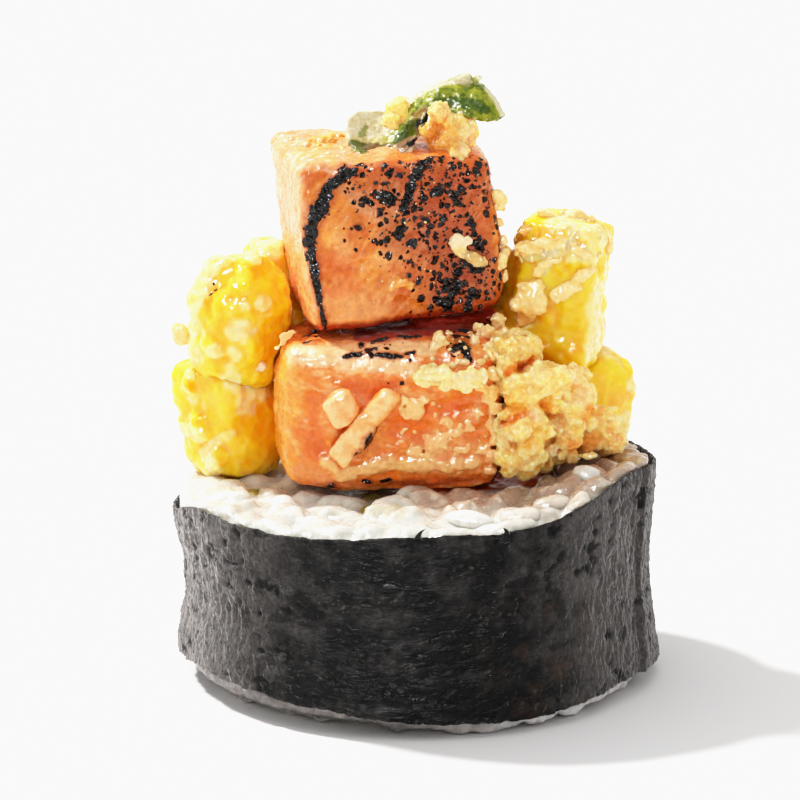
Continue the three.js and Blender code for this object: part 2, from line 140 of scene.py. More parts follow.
# ---- meshes --------------------------------------------------------------------------------------
def arrays(mesh):
    V = np.zeros(len(mesh.vertices) * 3, np.float32)
    mesh.vertices.foreach_get("co", V)
    V = V.reshape(-1, 3).astype(float)
    n = len(mesh.polygons)
    tot = np.zeros(n, np.int32)
    mesh.polygons.foreach_get("loop_total", tot)
    L = np.zeros(len(mesh.loops), np.int32)
    mesh.loops.foreach_get("vertex_index", L)
    if n and tot.min() == tot.max():
        return V, L.reshape(-1, tot[0]).astype(np.int64)
    mesh.calc_loop_triangles()
    T = np.zeros(len(mesh.loop_triangles) * 3, np.int32)
    mesh.loop_triangles.foreach_get("vertices", T)
    return V, T.reshape(-1, 3).astype(np.int64)


def raw_mesh(name, V, F):
    me = bpy.data.meshes.new(name)
    k = F.shape[1]
    me.vertices.add(len(V))
    me.vertices.foreach_set("co", np.ascontiguousarray(V, np.float32).ravel())
    me.loops.add(len(F) * k)
    me.loops.foreach_set("vertex_index", np.ascontiguousarray(F, np.int32).ravel())
    me.polygons.add(len(F))
    me.polygons.foreach_set("loop_start", np.arange(0, len(F) * k, k, dtype=np.int32))
    me.polygons.foreach_set("use_smooth", np.ones(len(F), bool))
    me.update(calc_edges=True)
    return me


def remesh(V, F, voxel):
    """One closed skin round everything in (V, F), in millimetres, as quads."""
    me = raw_mesh("tmp", V, F)
    ob = bpy.data.objects.new("tmp", me)
    bpy.context.scene.collection.objects.link(ob)
    mod = ob.modifiers.new("skin", "REMESH")
    mod.mode = "VOXEL"
    mod.voxel_size = voxel
    mod.adaptivity = 0.0
    ev = ob.evaluated_get(bpy.context.evaluated_depsgraph_get())
    out = arrays(ev.to_mesh())
    ev.to_mesh_clear()
    bpy.data.objects.remove(ob)
    bpy.data.meshes.remove(me)
    return out


def edges_of(F):
    k = F.shape[1]
    E = np.concatenate([np.stack([F[:, j], F[:, (j + 1) % k]], 1) for j in range(k)])
    E.sort(1)
    key = E[:, 0] * (F.max() + 1) + E[:, 1]
    _, first = np.unique(key, return_index=True)
    return E[first]


def relax(V, F, rounds=3, amount=0.5, E=None):
    E = edges_of(F) if E is None else E
    n = len(V)
    deg = np.bincount(E.ravel(), minlength=n)[:, None].clip(1)
    one = V.ndim == 1
    W = V[:, None].astype(float) if one else V.copy()
    for _ in range(rounds):
        acc = np.zeros_like(W)
        for c in range(W.shape[1]):
            acc[:, c] = np.bincount(E[:, 0], W[E[:, 1], c], n) + np.bincount(E[:, 1], W[E[:, 0], c], n)
        W += amount * (acc / deg - W)
    return W[:, 0] if one else W


def normals(V, F):
    a, b = (V[F[:, 2]] - V[F[:, 0]]), (V[F[:, -1]] - V[F[:, 1]])
    if F.shape[1] == 3:
        a, b = V[F[:, 1]] - V[F[:, 0]], V[F[:, 2]] - V[F[:, 0]]
    fn = np.cross(a, b)
    N = np.zeros_like(V)
    for j in range(F.shape[1]):
        for c in range(3):
            N[:, c] += np.bincount(F[:, j], fn[:, c], len(V))
    return N / np.linalg.norm(N, axis=1)[:, None].clip(1e-12)


def join(parts):
    Vs, Fs, n = [], [], 0
    for V, F in parts:
        if F.shape[1] == 4:
            F = np.concatenate([F[:, [0, 1, 2]], F[:, [0, 2, 3]]])
        Vs.append(V)
        Fs.append(F + n)
        n += len(V)
    return np.concatenate(Vs), np.concatenate(Fs)


def piece(name, V, F, material, nodes=(), col=None, rough=None, extra=None):
    """A finished piece: stored in metres, riding on the one body, with its colours on its points."""
    me = raw_mesh(name, V * MM, F)
    ob = bpy.data.objects.new(name, me)
    bpy.context.scene.collection.objects.link(ob)
    if col is not None:
        a = me.color_attributes.new("Col", "FLOAT_COLOR", "POINT")
        rgba = np.ones((len(V), 4), np.float32)
        rgba[:, :3] = np.clip(col, 0, 1)
        a.data.foreach_set("color", rgba.ravel())
    fields = {"Rgh": rough}
    fields.update(extra or {})
    for key, val in fields.items():
        if val is not None:
            a = me.attributes.new(key, "FLOAT", "POINT")
            a.data.foreach_set("value", np.ascontiguousarray(np.broadcast_to(val, len(V)), np.float32))
    me.materials.append(material)
    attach(ob, "root")
    if nodes:
        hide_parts(*nodes)
    return ob


def cad(name):
    V, F = arrays(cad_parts[name].data)
    V = V / MM
    key = np.round(V, 4)
    _, first, inv = np.unique(key, axis=0, return_index=True, return_inverse=True)
    F = inv.ravel()[F]
    F = F[(F[:, 0] != F[:, 1]) & (F[:, 1] != F[:, 2]) & (F[:, 0] != F[:, 2])]
    return V[first], F


def tree(V, F):
    return BVHTree.FromPolygons(V.tolist(), F.tolist())


def ball(level):
    import bmesh

    bm = bmesh.new()
    bmesh.ops.create_icosphere(bm, subdivisions=level, radius=1.0)
    me = bpy.data.meshes.new("ball")
    bm.to_mesh(me)
    bm.free()
    out = arrays(me)
    bpy.data.meshes.remove(me)
    return out


BALL2, BALL3 = ball(2), ball(3)


# ---- the view: where a point shows, and what lies behind a point of the view --------------------------
FOCAL, PITCH, EYE_D = 3300.0, math.radians(12.5), 380.0
FWD = np.array([0, math.cos(PITCH), -math.sin(PITCH)])
UPV = np.array([0, math.sin(PITCH), math.cos(PITCH)])
EYE = np.array([-2.0, 0, 32.0]) - EYE_D * FWD


def seen(V):
    """Where points show in an 800 x 800 view from the front."""
    d = V - EYE
    z = d @ FWD
    return np.stack([400 + FOCAL * d[:, 0] / z, 400 - FOCAL * (d @ UPV) / z], 1)


def facing(V, N):
    d = EYE - V
    return (N * d).sum(1) / np.linalg.norm(d, axis=1)


def ray(u, v):
    d = FWD + np.array([(u - 400) / FOCAL, 0, 0]) + UPV * (400 - v) / FOCAL
    return d / np.linalg.norm(d)


def hit(bvh, u, v):
    """Place and normal on a surface at a point of the front view."""
    p, n, _, _ = bvh.ray_cast(Vector(EYE), Vector(ray(u, v)))
    return (None, None) if p is None else (np.array(p), np.array(n))


def marks(U, lines):
    """How far inside the listed strokes each point is: 1 on their middle, 0 on their edge, below 0 outside."""
    best = np.full(len(U), -9.0)
    for line in lines:
        line = [line] if isinstance(line[0], (int, float)) else line
        for k in range(max(1, len(line) - 1)):
            a, b = np.array(line[k], float), np.array(line[min(k + 1, len(line) - 1)], float)
            ab = b[:2] - a[:2]
            t = np.clip(((U - a[:2]) @ ab) / max(1e-9, ab @ ab), 0, 1)
            d = np.sqrt(((U - (a[:2] + t[:, None] * ab)) ** 2).sum(1))
            best = np.maximum(best, 1 - d / (a[2] + t * (b[2] - a[2])))
    return best


# ---- materials ------------------------------------------------------------------------------------
class Nodes:
    """Short hand for a material's nodes."""

    def __init__(self, name):
        self.m = bpy.data.materials.new(name)
        self.m.use_nodes = True
        self.nt = self.m.node_tree
        self.b = self.nt.nodes["Principled BSDF"]
        self.co = self.nt.nodes.new("ShaderNodeTexCoord").outputs["Object"]

    def link(self, a, b):
        self.nt.links.new(a, b)

    def attr(self, name, colour=False):
        n = self.nt.nodes.new("ShaderNodeAttribute")
        n.attribute_name = name
        return n.outputs["Color" if colour else "Fac"]

    def stretch(self, sx, sy, sz):
        n = self.nt.nodes.new("ShaderNodeMapping")
        self.link(self.co, n.inputs["Vector"])
        n.inputs["Scale"].default_value = (sx, sy, sz)
        return n.outputs["Vector"]

    def noise(self, size, detail=4.0, kind="FBM", at=None, bend=0.0):
        n = self.nt.nodes.new("ShaderNodeTexNoise")
        n.noise_type = kind
        n.inputs["Scale"].default_value = 1.0 / (size * MM)
        n.inputs["Detail"].default_value = detail
        n.inputs["Distortion"].default_value = bend
        self.link(at or self.co, n.inputs["Vector"])
        return n.outputs["Fac"]

    def voronoi(self, size, feature="F1", bent=0.0):
        n = self.nt.nodes.new("ShaderNodeTexVoronoi")
        n.feature = feature
        n.inputs["Scale"].default_value = 1.0 / (size * MM)
        at = self.co
        if bent:
            w = self.nt.nodes.new("ShaderNodeTexNoise")
            w.inputs["Scale"].default_value = 1.6 / (size * MM)
            self.link(self.co, w.inputs["Vector"])
            d = self.nt.nodes.new("ShaderNodeVectorMath")
            d.operation = "MULTIPLY_ADD"
            self.link(w.outputs["Color"], d.inputs[0])
            d.inputs[1].default_value = (bent * size * MM * 1.6,) * 3
            self.link(self.co, d.inputs[2])
            at = d.outputs["Vector"]
        self.link(at, n.inputs["Vector"])
        return n.outputs["Distance"], n.outputs["Color"]

    def span(self, v, a, b, c, d):
        n = self.nt.nodes.new("ShaderNodeMapRange")
        for key, val in (("From Min", a), ("From Max", b), ("To Min", c), ("To Max", d)):
            if isinstance(val, (int, float)):
                n.inputs[key].default_value = val
            else:
                self.link(val, n.inputs[key])
        self.link(v, n.inputs["Value"])
        return n.outputs["Result"]

    def math(self, op, a, b=None):
        n = self.nt.nodes.new("ShaderNodeMath")
        n.operation = op
        for k, v in enumerate((a, b)):
            if v is None:
                continue
            if isinstance(v, (int, float)):
                n.inputs[k].default_value = v
            else:
                self.link(v, n.inputs[k])
        return n.outputs["Value"]

    def scaled(self, colour, factor):
        n = self.nt.nodes.new("ShaderNodeVectorMath")
        n.operation = "SCALE"
        self.link(colour, n.inputs[0])
        self.link(factor, n.inputs["Scale"])
        return n.outputs["Vector"]

    def blend(self, a, b, f):
        n = self.nt.nodes.new("ShaderNodeMix")
        n.data_type = "RGBA"
        for sock, v in ((n.inputs["A"], a), (n.inputs["B"], b)):
            pass
        ins = [i for i in n.inputs if i.type == "RGBA"]
        for sock, v in zip(ins, (a, b)):
            if isinstance(v, tuple):
                sock.default_value = v + (1.0,)
            else:
                self.link(v, sock)
        fac = [i for i in n.inputs if i.type == "VALUE"][0]
        self.link(f, fac)
        return [o for o in n.outputs if o.type == "RGBA"][0]

    def parts(self, colour):
        n = self.nt.nodes.new("ShaderNodeSeparateColor")
        self.link(colour, n.inputs[0])
        return n.outputs

    def relief(self, height, strength, depth, before=None):
        n = self.nt.nodes.new("ShaderNodeBump")
        n.inputs["Strength"].default_value = strength
        n.inputs["Distance"].default_value = depth * MM
        self.link(height, n.inputs["Height"])
        if before is not None:
            self.link(before, n.inputs["Normal"])
        return n.outputs["Normal"]

    def flesh(self, sss, radius, scale, spec=0.5, ior=1.4, coat=0.0, coat_rough=0.1):
        b = self.b
        b.inputs["Specular IOR Level"].default_value = spec
        b.inputs["IOR"].default_value = ior
        b.inputs["Subsurface Weight"].default_value = sss
        b.inputs["Subsurface Radius"].default_value = radius
        b.inputs["Subsurface Scale"].default_value = scale * MM
        b.inputs["Coat Weight"].default_value = coat
        b.inputs["Coat Roughness"].default_value = coat_rough


def surface(name, sss=0.0, radius=(1, 0.4, 0.2), scale=1.0, spec=0.5, coat=0.0, coat_rough=0.1, bumps=(), mottle=(0.5, 0.1), wet=(0.22, 0.5), wet_size=0.5, char=False, use_rough=False, granules=()):
    """Food surface: colour from its points with fine mottling, patches of wet gloss, fine relief, and char where it is burnt."""
    g = Nodes(name)
    g.flesh(sss, radius, scale, spec, coat=coat, coat_rough=coat_rough)
    col = g.scaled(g.attr("Col", True), g.span(g.noise(mottle[0], 3.0), 0.3, 0.7, 1 - mottle[1], 1 + mottle[1]))
    rough = g.span(g.noise(wet_size, 2.0), 0.38, 0.62, wet[0], wet[1])
    nrm = None
    for size, strength, depth in bumps:
        nrm = g.relief(g.noise(size, 4.0), strength, depth, nrm)
    for size, strength, depth in granules:
        d, c = g.voronoi(size, bent=0.3)
        nrm = g.relief(g.span(d, 0.0, 0.8, 1.0, 0.0), strength, depth, nrm)
        col = g.scaled(col, g.span(g.parts(c)[0], 0.0, 1.0, 0.90, 1.10))
    if char:
        field, dens = g.attr("Char"), g.attr("Dens")
        n = g.math("MULTIPLY", g.math("SUBTRACT", g.noise(0.6, 5.0), 0.5), 2.5)
        edge = g.math("ADD", field, n)
        burnt = g.span(edge, 0.0, 0.10, 0.0, 1.0)
        for size, share in ((1.25, 1.0), (0.75, 1.0), (0.42, 0.8)):
            d, c = g.voronoi(size, bent=0.35)
            rgb = g.parts(c)
            rad = g.span(rgb[0], 0.0, 1.0, 0.20, 0.58)
            dot = g.span(g.math("SUBTRACT", g.math("ADD", rad, g.math("MULTIPLY", n, 0.10)), d), 0.0, 0.10, 0.0, 1.0)
            on = g.math("LESS_THAN", rgb[1], g.math("MULTIPLY", dens, share))
            burnt = g.math("MAXIMUM", burnt, g.math("MULTIPLY", dot, on))
        halo = g.span(edge, -1.1, 0.0, 0.0, 0.75)
        halo = g.math("MAXIMUM", halo, g.span(g.math("ADD", dens, g.math("MULTIPLY", n, 0.25)), 0.15, 0.75, 0.0, 0.9))
        col = g.blend(col, HALO, halo)
        col = g.blend(col, SOOT, burnt)
        d2, _ = g.voronoi(0.95)
        d3, _ = g.voronoi(0.45)
        rough = g.math("ADD", g.math("MULTIPLY", rough, g.math("SUBTRACT", 1.0, burnt)), g.math("MULTIPLY", burnt, g.span(d3, 0.1, 0.6, 0.10, 0.28)))
        up = g.math("MULTIPLY", burnt, g.span(d2, 0.0, 0.75, 1.0, 0.0))
        nrm = g.relief(up, 1.0, 0.60, nrm)
        nrm = g.relief(g.math("MULTIPLY", burnt, g.span(d3, 0.0, 0.7, 1.0, 0.0)), 0.8, 0.22, nrm)
    g.link(col, g.b.inputs["Base Color"])
    if use_rough:
        rough = g.math("MULTIPLY", rough, g.attr("Rgh"))
    g.link(rough, g.b.inputs["Roughness"])
    if nrm is not None:
        g.link(nrm, g.b.inputs["Normal"])
        if coat:
            g.link(nrm, g.b.inputs["Coat Normal"])
    return g.m


def nori_surface():
    g = Nodes("nori_sheet")
    g.flesh(0.0, (1, 1, 1), 1.0, spec=0.22, ior=1.45)
    g.b.inputs["Sheen Weight"].default_value = 0.80
    g.b.inputs["Sheen Roughness"].default_value = 0.24
    g.b.inputs["Sheen Tint"].default_value = (0.95, 0.92, 0.91, 1)
    side, col = g.attr("Side"), g.attr("Col", True)
    up = g.noise(1.3, 5.0, "FBM", g.stretch(1.0, 1.0, 0.45), 1.6)
    over = g.noise(1.1, 5.0, "FBM", g.stretch(0.35, 0.35, 1.0), 1.8)
    hair = g.noise(2.2, 6.0, "RIDGED_MULTIFRACTAL", g.stretch(0.9, 0.9, 0.9), 2.4)
    mixh = g.math("ADD", g.math("MULTIPLY", up, side), g.math("MULTIPLY", over, g.math("SUBTRACT", 1.0, side)))
    grain_h = g.noise(0.22, 4.0)
    col = g.scaled(col, g.span(g.noise(0.4, 4.0), 0.3, 0.7, 0.6, 1.45))
    lines = g.span(hair, 0.62, 0.95, 0.0, 1.0)
    col = g.blend(col, tuple(srgb(104, 96, 88)), g.math("MULTIPLY", lines, 0.22))
    g.link(col, g.b.inputs["Base Color"])
    rough = g.math("ADD", g.attr("Rgh"), g.span(g.noise(0.7, 3.0), 0.35, 0.65, -0.10, 0.10))
    g.link(rough, g.b.inputs["Roughness"])
    nrm = g.relief(mixh, 1.0, 0.55)
    nrm = g.relief(hair, 0.7, 0.12, nrm)
    nrm = g.relief(grain_h, 0.6, 0.06, nrm)
    g.link(nrm, g.b.inputs["Normal"])
    return g.m


HALO = tuple(srgb(160, 66, 14))
SOOT = tuple(srgb(6, 5, 5))
M_NORI = nori_surface()
M_RICE = surface("rice_grain", sss=0.85, radius=(1.0, 0.88, 0.72), scale=2.4, spec=0.5, coat=0.5, coat_rough=0.15, bumps=[(1.4, 0.3, 0.12), (0.50, 0.8, 0.13)], mottle=(0.9, 0.10), wet=(0.08, 0.45), wet_size=0.5)
M_SALMON = surface("seared_salmon", sss=0.4, radius=(1.0, 0.40, 0.14), scale=1.0, spec=0.5, coat=0.35, coat_rough=0.16, bumps=[(0.40, 0.7, 0.10), (0.9, 0.6, 0.20)], mottle=(0.6, 0.16), wet=(0.10, 0.5), wet_size=0.45, char=True, use_rough=True)
M_MANGO = surface("mango_flesh", sss=0.85, radius=(1.0, 0.62, 0.08), scale=2.6, spec=0.5, coat=0.4, coat_rough=0.12, bumps=[(0.6, 0.4, 0.08), (1.8, 0.4, 0.20)], mottle=(1.0, 0.05), wet=(0.08, 0.36), wet_size=0.8)
M_BITS = surface("crumb_bits", sss=0.4, radius=(1.0, 0.80, 0.50), scale=0.35, spec=0.5, coat=0.3, coat_rough=0.08, bumps=[(0.22, 0.5, 0.06)], mottle=(0.5, 0.08), wet=(0.12, 0.5), wet_size=0.3)
M_CRUMB = surface("batter_crumb", sss=0.8, radius=(1.0, 0.66, 0.30), scale=1.5, spec=0.5, bumps=[(0.22, 0.5, 0.06), (0.9, 0.4, 0.12)], mottle=(0.6, 0.08), wet=(0.12, 0.6), wet_size=0.3, granules=[(0.75, 0.55, 0.25), (0.36, 0.5, 0.12)])
M_PALE = surface("pale_salmon", sss=0.5, radius=(1.0, 0.6, 0.35), scale=0.6, spec=0.5, coat=0.4, coat_rough=0.14, bumps=[(0.45, 0.5, 0.08), (1.2, 0.4, 0.14)], mottle=(0.5, 0.07), wet=(0.10, 0.42), char=True)
M_GREEN = surface("green_curl", sss=0.25, radius=(0.7, 1.0, 0.3), scale=0.5, spec=0.4, coat=0.3, coat_rough=0.14, bumps=[(0.35, 0.6, 0.08)], mottle=(0.3, 0.16), wet=(0.14, 0.5), wet_size=0.4)
M_FILL = surface("filling", sss=0.35, radius=(0.9, 0.8, 0.3), scale=0.8, spec=0.5, bumps=[(0.6, 0.5, 0.1)], mottle=(0.7, 0.12))


# ---- the roll's outline -----------------------------------------------------------------------------
ROLL_RADIUS, SHEET = 27.15, 0.35
TOP_EDGE = [23.6, 22.9, 22.0, 21.0, 22.2, 21.9, 22.9, 23.3, 26.4, 25.0, 24.6, 24.2]
BOTTOM_EDGE = [1.9, 2.2, 2.6, 3.0, 3.9, 3.1, 1.95, 1.65, 2.7, 1.8, 1.7, 1.8]
FLARE_TOP = [0.4, 0.5, 0.9, 1.25, 0.7, 0.3, 0.2, 0.3, 0.4, 0.55, 0.5, 0.4]
FLARE_BOTTOM = [0.5, 0.5, 0.6, 0.9, 0.7, 0.5, 0.4, 0.4, 0.7, 1.2, 0.8, 0.6]


def around(ring, a):
    ring = np.array(ring)
    s = ((a / (2 * math.pi)) * 12 + 6) % 12
    i = np.floor(s).astype(int)
    t = s - i
    p = [ring[(i + k) % 12] for k in (-1, 0, 1, 2)]
    return p[1] + 0.5 * t * (p[2] - p[0] + t * (2 * p[0] - 5 * p[1] + 4 * p[2] - p[3] + t * (3 * (p[1] - p[2]) + p[3] - p[0])))


def top_edge(a):
    """The sheet's upper edge, drawn down at the left and behind it, where the rice swells over it."""
    return around(TOP_EDGE, a) - 1.3 * sm(-1.2, -1.5, a) * sm(-2.9, -2.3, a)


def sheet_radius(a, t):
    flare = around(FLARE_TOP, a) * sm(0.55, 1.0, t) + around(FLARE_BOTTOM, a) * sm(0.42, 0.0, t)
    return ROLL_RADIUS + flare + 0.35 * np.cos(2 * a + 0.6) + 0.22 * np.cos(3 * a - 1)


def seaweed():
    nt, nr = 800, 84
    th = np.linspace(-math.pi, math.pi, nt, endpoint=False)
    rows = np.linspace(0, 1, nr)
    TH, T = [g.T.ravel() for g in np.meshgrid(th, rows, indexing="xy")]
    cyl = np.stack([27.4 * np.sin(TH), -27.4 * np.cos(TH), 0 * TH], 1)
    lo, hi = around(BOTTOM_EDGE, TH), top_edge(TH)
    hi = hi + 0.10 * fbm(cyl / 1.1, 3, 5) + 0.22 * gn(cyl / 5.0, 6)
    lo = lo + 0.16 * fbm(cyl / 1.3, 3, 7) + 0.2 * gn(cyl / 4.0, 8)
    Z = lo + (hi - lo) * T
    p = cyl.copy()
    p[:, 2] = Z
    w = warp(p, 5.5, 2.2, 40)
    side = sm(0.45, 0.9, np.abs(np.sin(TH)))
    left = sm(-0.2, -0.7, np.sin(TH)) * sm(-0.99, -0.8, np.sin(TH))
    up = ridge(w * [1 / 2.0, 1 / 2.0, 1 / 6.5], 3, 60)
    across = ridge(w * [1 / 6.0, 1 / 6.0, 1 / 1.9], 3, 70)
    slant = w.copy()
    slant[:, 2] = w[:, 2] + 0.9 * 27.4 * TH
    swirl = ridge(slant * [1 / 5.0, 1 / 5.0, 1 / 2.2], 3, 80)
    crinkle = ridge(warp(p, 2.5, 0.9, 90) / 2.6, 3, 95)
    fine_up = ridge(warp(p, 1.5, 0.5, 91) * [1 / 0.9, 1 / 0.9, 1 / 2.6], 2, 92)
    folds = ridge(warp(p, 7.0, 3.5, 93) * [1 / 4.5, 1 / 4.5, 1 / 5.5], 3, 94)
    rel = (0.14 * side + 0.03) * up + (0.16 * (1 - side) + 0.02) * across + 0.26 * left * swirl + 0.16 * (0.35 + side) * crinkle + 0.42 * folds * side
    rel = rel + 0.06 * fbm(p / 0.45, 2, 99) + (0.04 + 0.08 * side) * fine_up
    pits = sm(0.33, 0.62, fbm(p * [1 / 2.6, 1 / 2.6, 1 / 1.5], 2, 120)) * sm(0.1, 0.5, fbm(p / 9, 2, 121) + 0.25)
    rel = rel - 0.25 * pits
    # free edge of the sheet: a lap that stands a little proud, its edge slightly uneven
    edge = math.radians(69) + 0.012 * gn(np.stack([Z / 2.2, 0 * Z, 0 * Z], 1), 130) + 0.02 * (T - 0.5)
    from_edge = (TH - edge) * 27.4
    lap = sm(-0.10, 0.10, from_edge) * (1 - sm(math.radians(93), math.radians(103), TH))
    lift = np.exp(-np.clip(from_edge, 0, None) / 2.2) * lap
    groove = np.exp(-((from_edge + 1.7 + 0.9 * gn(p / 3, 131)) / 0.45) ** 2) * sm(0.05, 0.3, gn(p / [3, 3, 4], 134) + 0.25) * 0.30
    torn = np.exp(-((Z - 8.6) / 1.1) ** 2) * np.exp(-np.clip(from_edge, 0, None) / 1.2) * lap
    R = sheet_radius(TH, T) + rel - 0.34 - 0.16 * side + 0.4 * lap + 0.25 * lift - groove + 0.35 * torn
    R = R + 0.10 * sm(0.985, 1.0, T) * fbm(cyl / 0.7, 2, 133)
    grid = np.stack([R * np.sin(TH), -R * np.cos(TH), Z], 1).reshape(nt, nr, 3)
    thc = TH.reshape(nt, nr)
    inner_rows = [(1.0, 0.16, 0.06), (1.0, 0.36, -0.02), (0.9, 0.42, 0), (0.6, 0.42, 0), (0.3, 0.42, 0), (0.08, 0.42, 0), (0.0, 0.36, 0.02), (0.0, 0.16, -0.05)]
    add = []
    r_top, r_bot = R.reshape(nt, nr)[:, -1], R.reshape(nt, nr)[:, 0]
    base = sheet_radius(th[:, None], np.array([r[0] for r in inner_rows])[None, :])
    for k, (t, inset, dz) in enumerate(inner_rows):
        z = (lo.reshape(nt, nr)[:, 0] * (1 - t) + hi.reshape(nt, nr)[:, -1] * t) + dz
        if k < 2:
            r = r_top - inset
        elif k > 5:
            r = r_bot - inset
        else:
            r = base[:, k] - inset
        add.append(np.stack([r * np.sin(th), -r * np.cos(th), z], 1))
    grid = np.concatenate([grid, np.stack(add, 1)], 1)
    m = grid.shape[1]
    V = grid.reshape(-1, 3)
    i = np.arange(nt)[:, None] * m
    j = np.arange(m)[None, :]
    i2, j2 = ((np.arange(nt)[:, None] + 1) % nt) * m, (j + 1) % m
    F = np.stack([(i + j), (i2 + j), (i2 + j2), (i + j2)], -1).reshape(-1, 4)
    # colours
    n1, n2 = fbm(V / 3.2, 3, 140), fbm(V / 0.9, 3, 141)
    relm = np.zeros(grid.shape[:2])
    relm[:, :nr] = rel.reshape(nt, nr)
    relm = relm.ravel()
    # ridges of the relief painted lighter: painted highlight
    lit = sm(0.05, 0.42, relm)
    col = mix(srgb(8, 7, 7), srgb(66, 63, 62), np.clip(0.36 + 0.55 * n1 + 0.3 * n2 + 0.4 * (lit - 0.5), 0, 1))
    a = np.arctan2(V[:, 0], -V[:, 1])
    zz = V[:, 2]
    low_band = np.exp(-((zz - 5.0) / 4.0) ** 2) * sm(0.9, 0.3, np.abs(a + 0.1))
    black = sm(0.10, 0.45, fbm(V * [1 / 5.0, 1 / 5.0, 1 / 2.4], 3, 150) + 0.5 * low_band - 0.10)
    U = seen(V)
    patches = marks(U, [[(440, 566, 7), (462, 564, 12), (482, 564, 7)], [(408, 598, 8), (430, 600, 10)], [(298, 600, 8), (312, 614, 12)], [(440, 636, 10), (475, 634, 20), (512, 640, 14)], [(410, 656, 8), (450, 660, 16), (490, 664, 10)],
                        [(362, 694, 10), (420, 700, 14), (500, 698, 14), (530, 694, 8)], [(285, 686, 12), (318, 700, 12)], [(360, 557, 5), (380, 556, 6)], [(420, 625, 6), (450, 620, 7)], [(330, 640, 5), (360, 650, 6)], [(240, 600, 5), (246, 622, 5)], [(556, 596, 6), (562, 612, 5)]])
    black = np.maximum(0.75 * black, sm(-0.35, 0.5, patches + 0.9 * fbm(V * [1 / 2.4, 1 / 2.4, 1 / 0.8], 3, 154)) * (V[:, 1] < 5))
    # painted sheen: both sides of the sheet painted lighter grey, most on the raised relief, and the left side lighter
    # still
    sides = sm(0.35, 0.8, np.abs(np.sin(a)))
    col = mix(col, srgb(98, 94, 92), 0.65 * sides * sm(0.1, 0.5, relm + 0.2))
    col = mix(col, srgb(146, 142, 141), 0.50 * sm(-0.75, -1.15, a) * sm(-2.05, -1.7, a) * sm(-0.1, 0.4, relm + 0.1))
    col = mix(col, srgb(2, 2, 2), 0.97 * black * (1 - 0.6 * sides))
    brown = sm(0.0, 0.5, fbm(V / 3.0, 3, 151)) * np.exp(-((a - 0.62) / 0.3) ** 2) * sm(20, 8, zz)
    col = mix(col, srgb(64, 48, 38), 0.55 * brown)
    # sunken pits painted near black: painted shade
    pm = np.zeros(grid.shape[:2])
    pm[:, :nr] = pits.reshape(nt, nr)
    col = mix(col, srgb(6, 5, 5), 0.85 * pm.ravel())
    fleck = sm(0.62, 0.8, fbm(V / 0.5, 2, 152)) * sm(0.2, 0.5, fbm(V / 6, 2, 153))
    col = mix(col, srgb(105, 98, 88), 0.5 * fleck)
    rough = np.clip(0.45 + 0.10 * n1 - 0.08 * n2 - 0.08 * black, 0.3, 0.7)
    piece("seaweed_sheet", V, F, M_NORI, ["seaweed"], col, rough, {"Side": sides})
    # little torn fibres on the upper rim
    parts = []
    for k, (u, v, h, lean) in enumerate([(415, 536, 1.5, 0.9), (498, 534, 1.0, -0.5), (311, 538, 0.5, -0.6), (560, 520, 0.5, 0.3)]):
        a0 = math.asin(np.clip(((u - 417.5) / 8.64 + 0.2) / 27.4, -1, 1))
        r0 = float(sheet_radius(np.array([a0]), np.array([1.0]))[0]) - 0.1
        z0 = float(around(TOP_EDGE, np.array([a0]))[0]) - 0.15
        base_p = np.array([r0 * math.sin(a0), -r0 * math.cos(a0), z0])
        along = np.array([math.cos(a0), math.sin(a0), 0])
        pts, n = [], 7
        for q in range(n):
            s = q / (n - 1)
            c = base_p + along * lean * s * s + np.array([0, 0, h * s * (1.1 - 0.3 * s)])
            w0 = 0.34 * (1 - s) ** 0.8 + 0.03
            for g in range(6):
                t = g * math.pi / 3
                pts.append(c + along * w0 * math.cos(t) + np.array([0, 1, 0]) * 0.12 * (1.1 - s) * math.sin(t))
        F2 = []
        for q in range(n - 1):
            for g in range(6):
                F2.append([q * 6 + g, q * 6 + (g + 1) % 6, (q + 1) * 6 + (g + 1) % 6, (q + 1) * 6 + g])
        parts.append((np.array(pts), np.array(F2)))
    V, F = join(parts)
    piece("seaweed_fibres", V, F, M_NORI, (), np.tile(srgb(30, 26, 23), (len(V), 1)), 0.6, {"Side": 0.5})


# ---- rice -------------------------------------------------------------------------------------------
def grain_form(rings=11, sides=11):
    s = np.linspace(-1, 1, rings)
    prof = np.clip(1 - np.abs(s) ** 2.5, 0, 1) ** 0.5
    prof[0] = prof[-1] = 0.0
    P = []
    for k in range(1, rings - 1):
        a = np.linspace(0, 2 * math.pi, sides, endpoint=False)
        P.append(np.stack([np.full(sides, s[k]), np.cos(a) * prof[k], np.sin(a) * prof[k]], 1))
    P = np.concatenate(P + [[[-1, 0, 0]], [[1, 0, 0]]])
    F = []
    for k in range(rings - 3):
        for g in range(sides):
            a, b = k * sides + g, k * sides + (g + 1) % sides
            F += [[a, b, b + sides], [a, b + sides, a + sides]]
    lo, hi, last = len(P) - 2, len(P) - 1, (rings - 3) * sides
    for g in range(sides):
        F += [[lo, (g + 1) % sides, g], [hi, last + g, last + (g + 1) % sides]]
    return P, np.array(F)


GRAIN = grain_form()


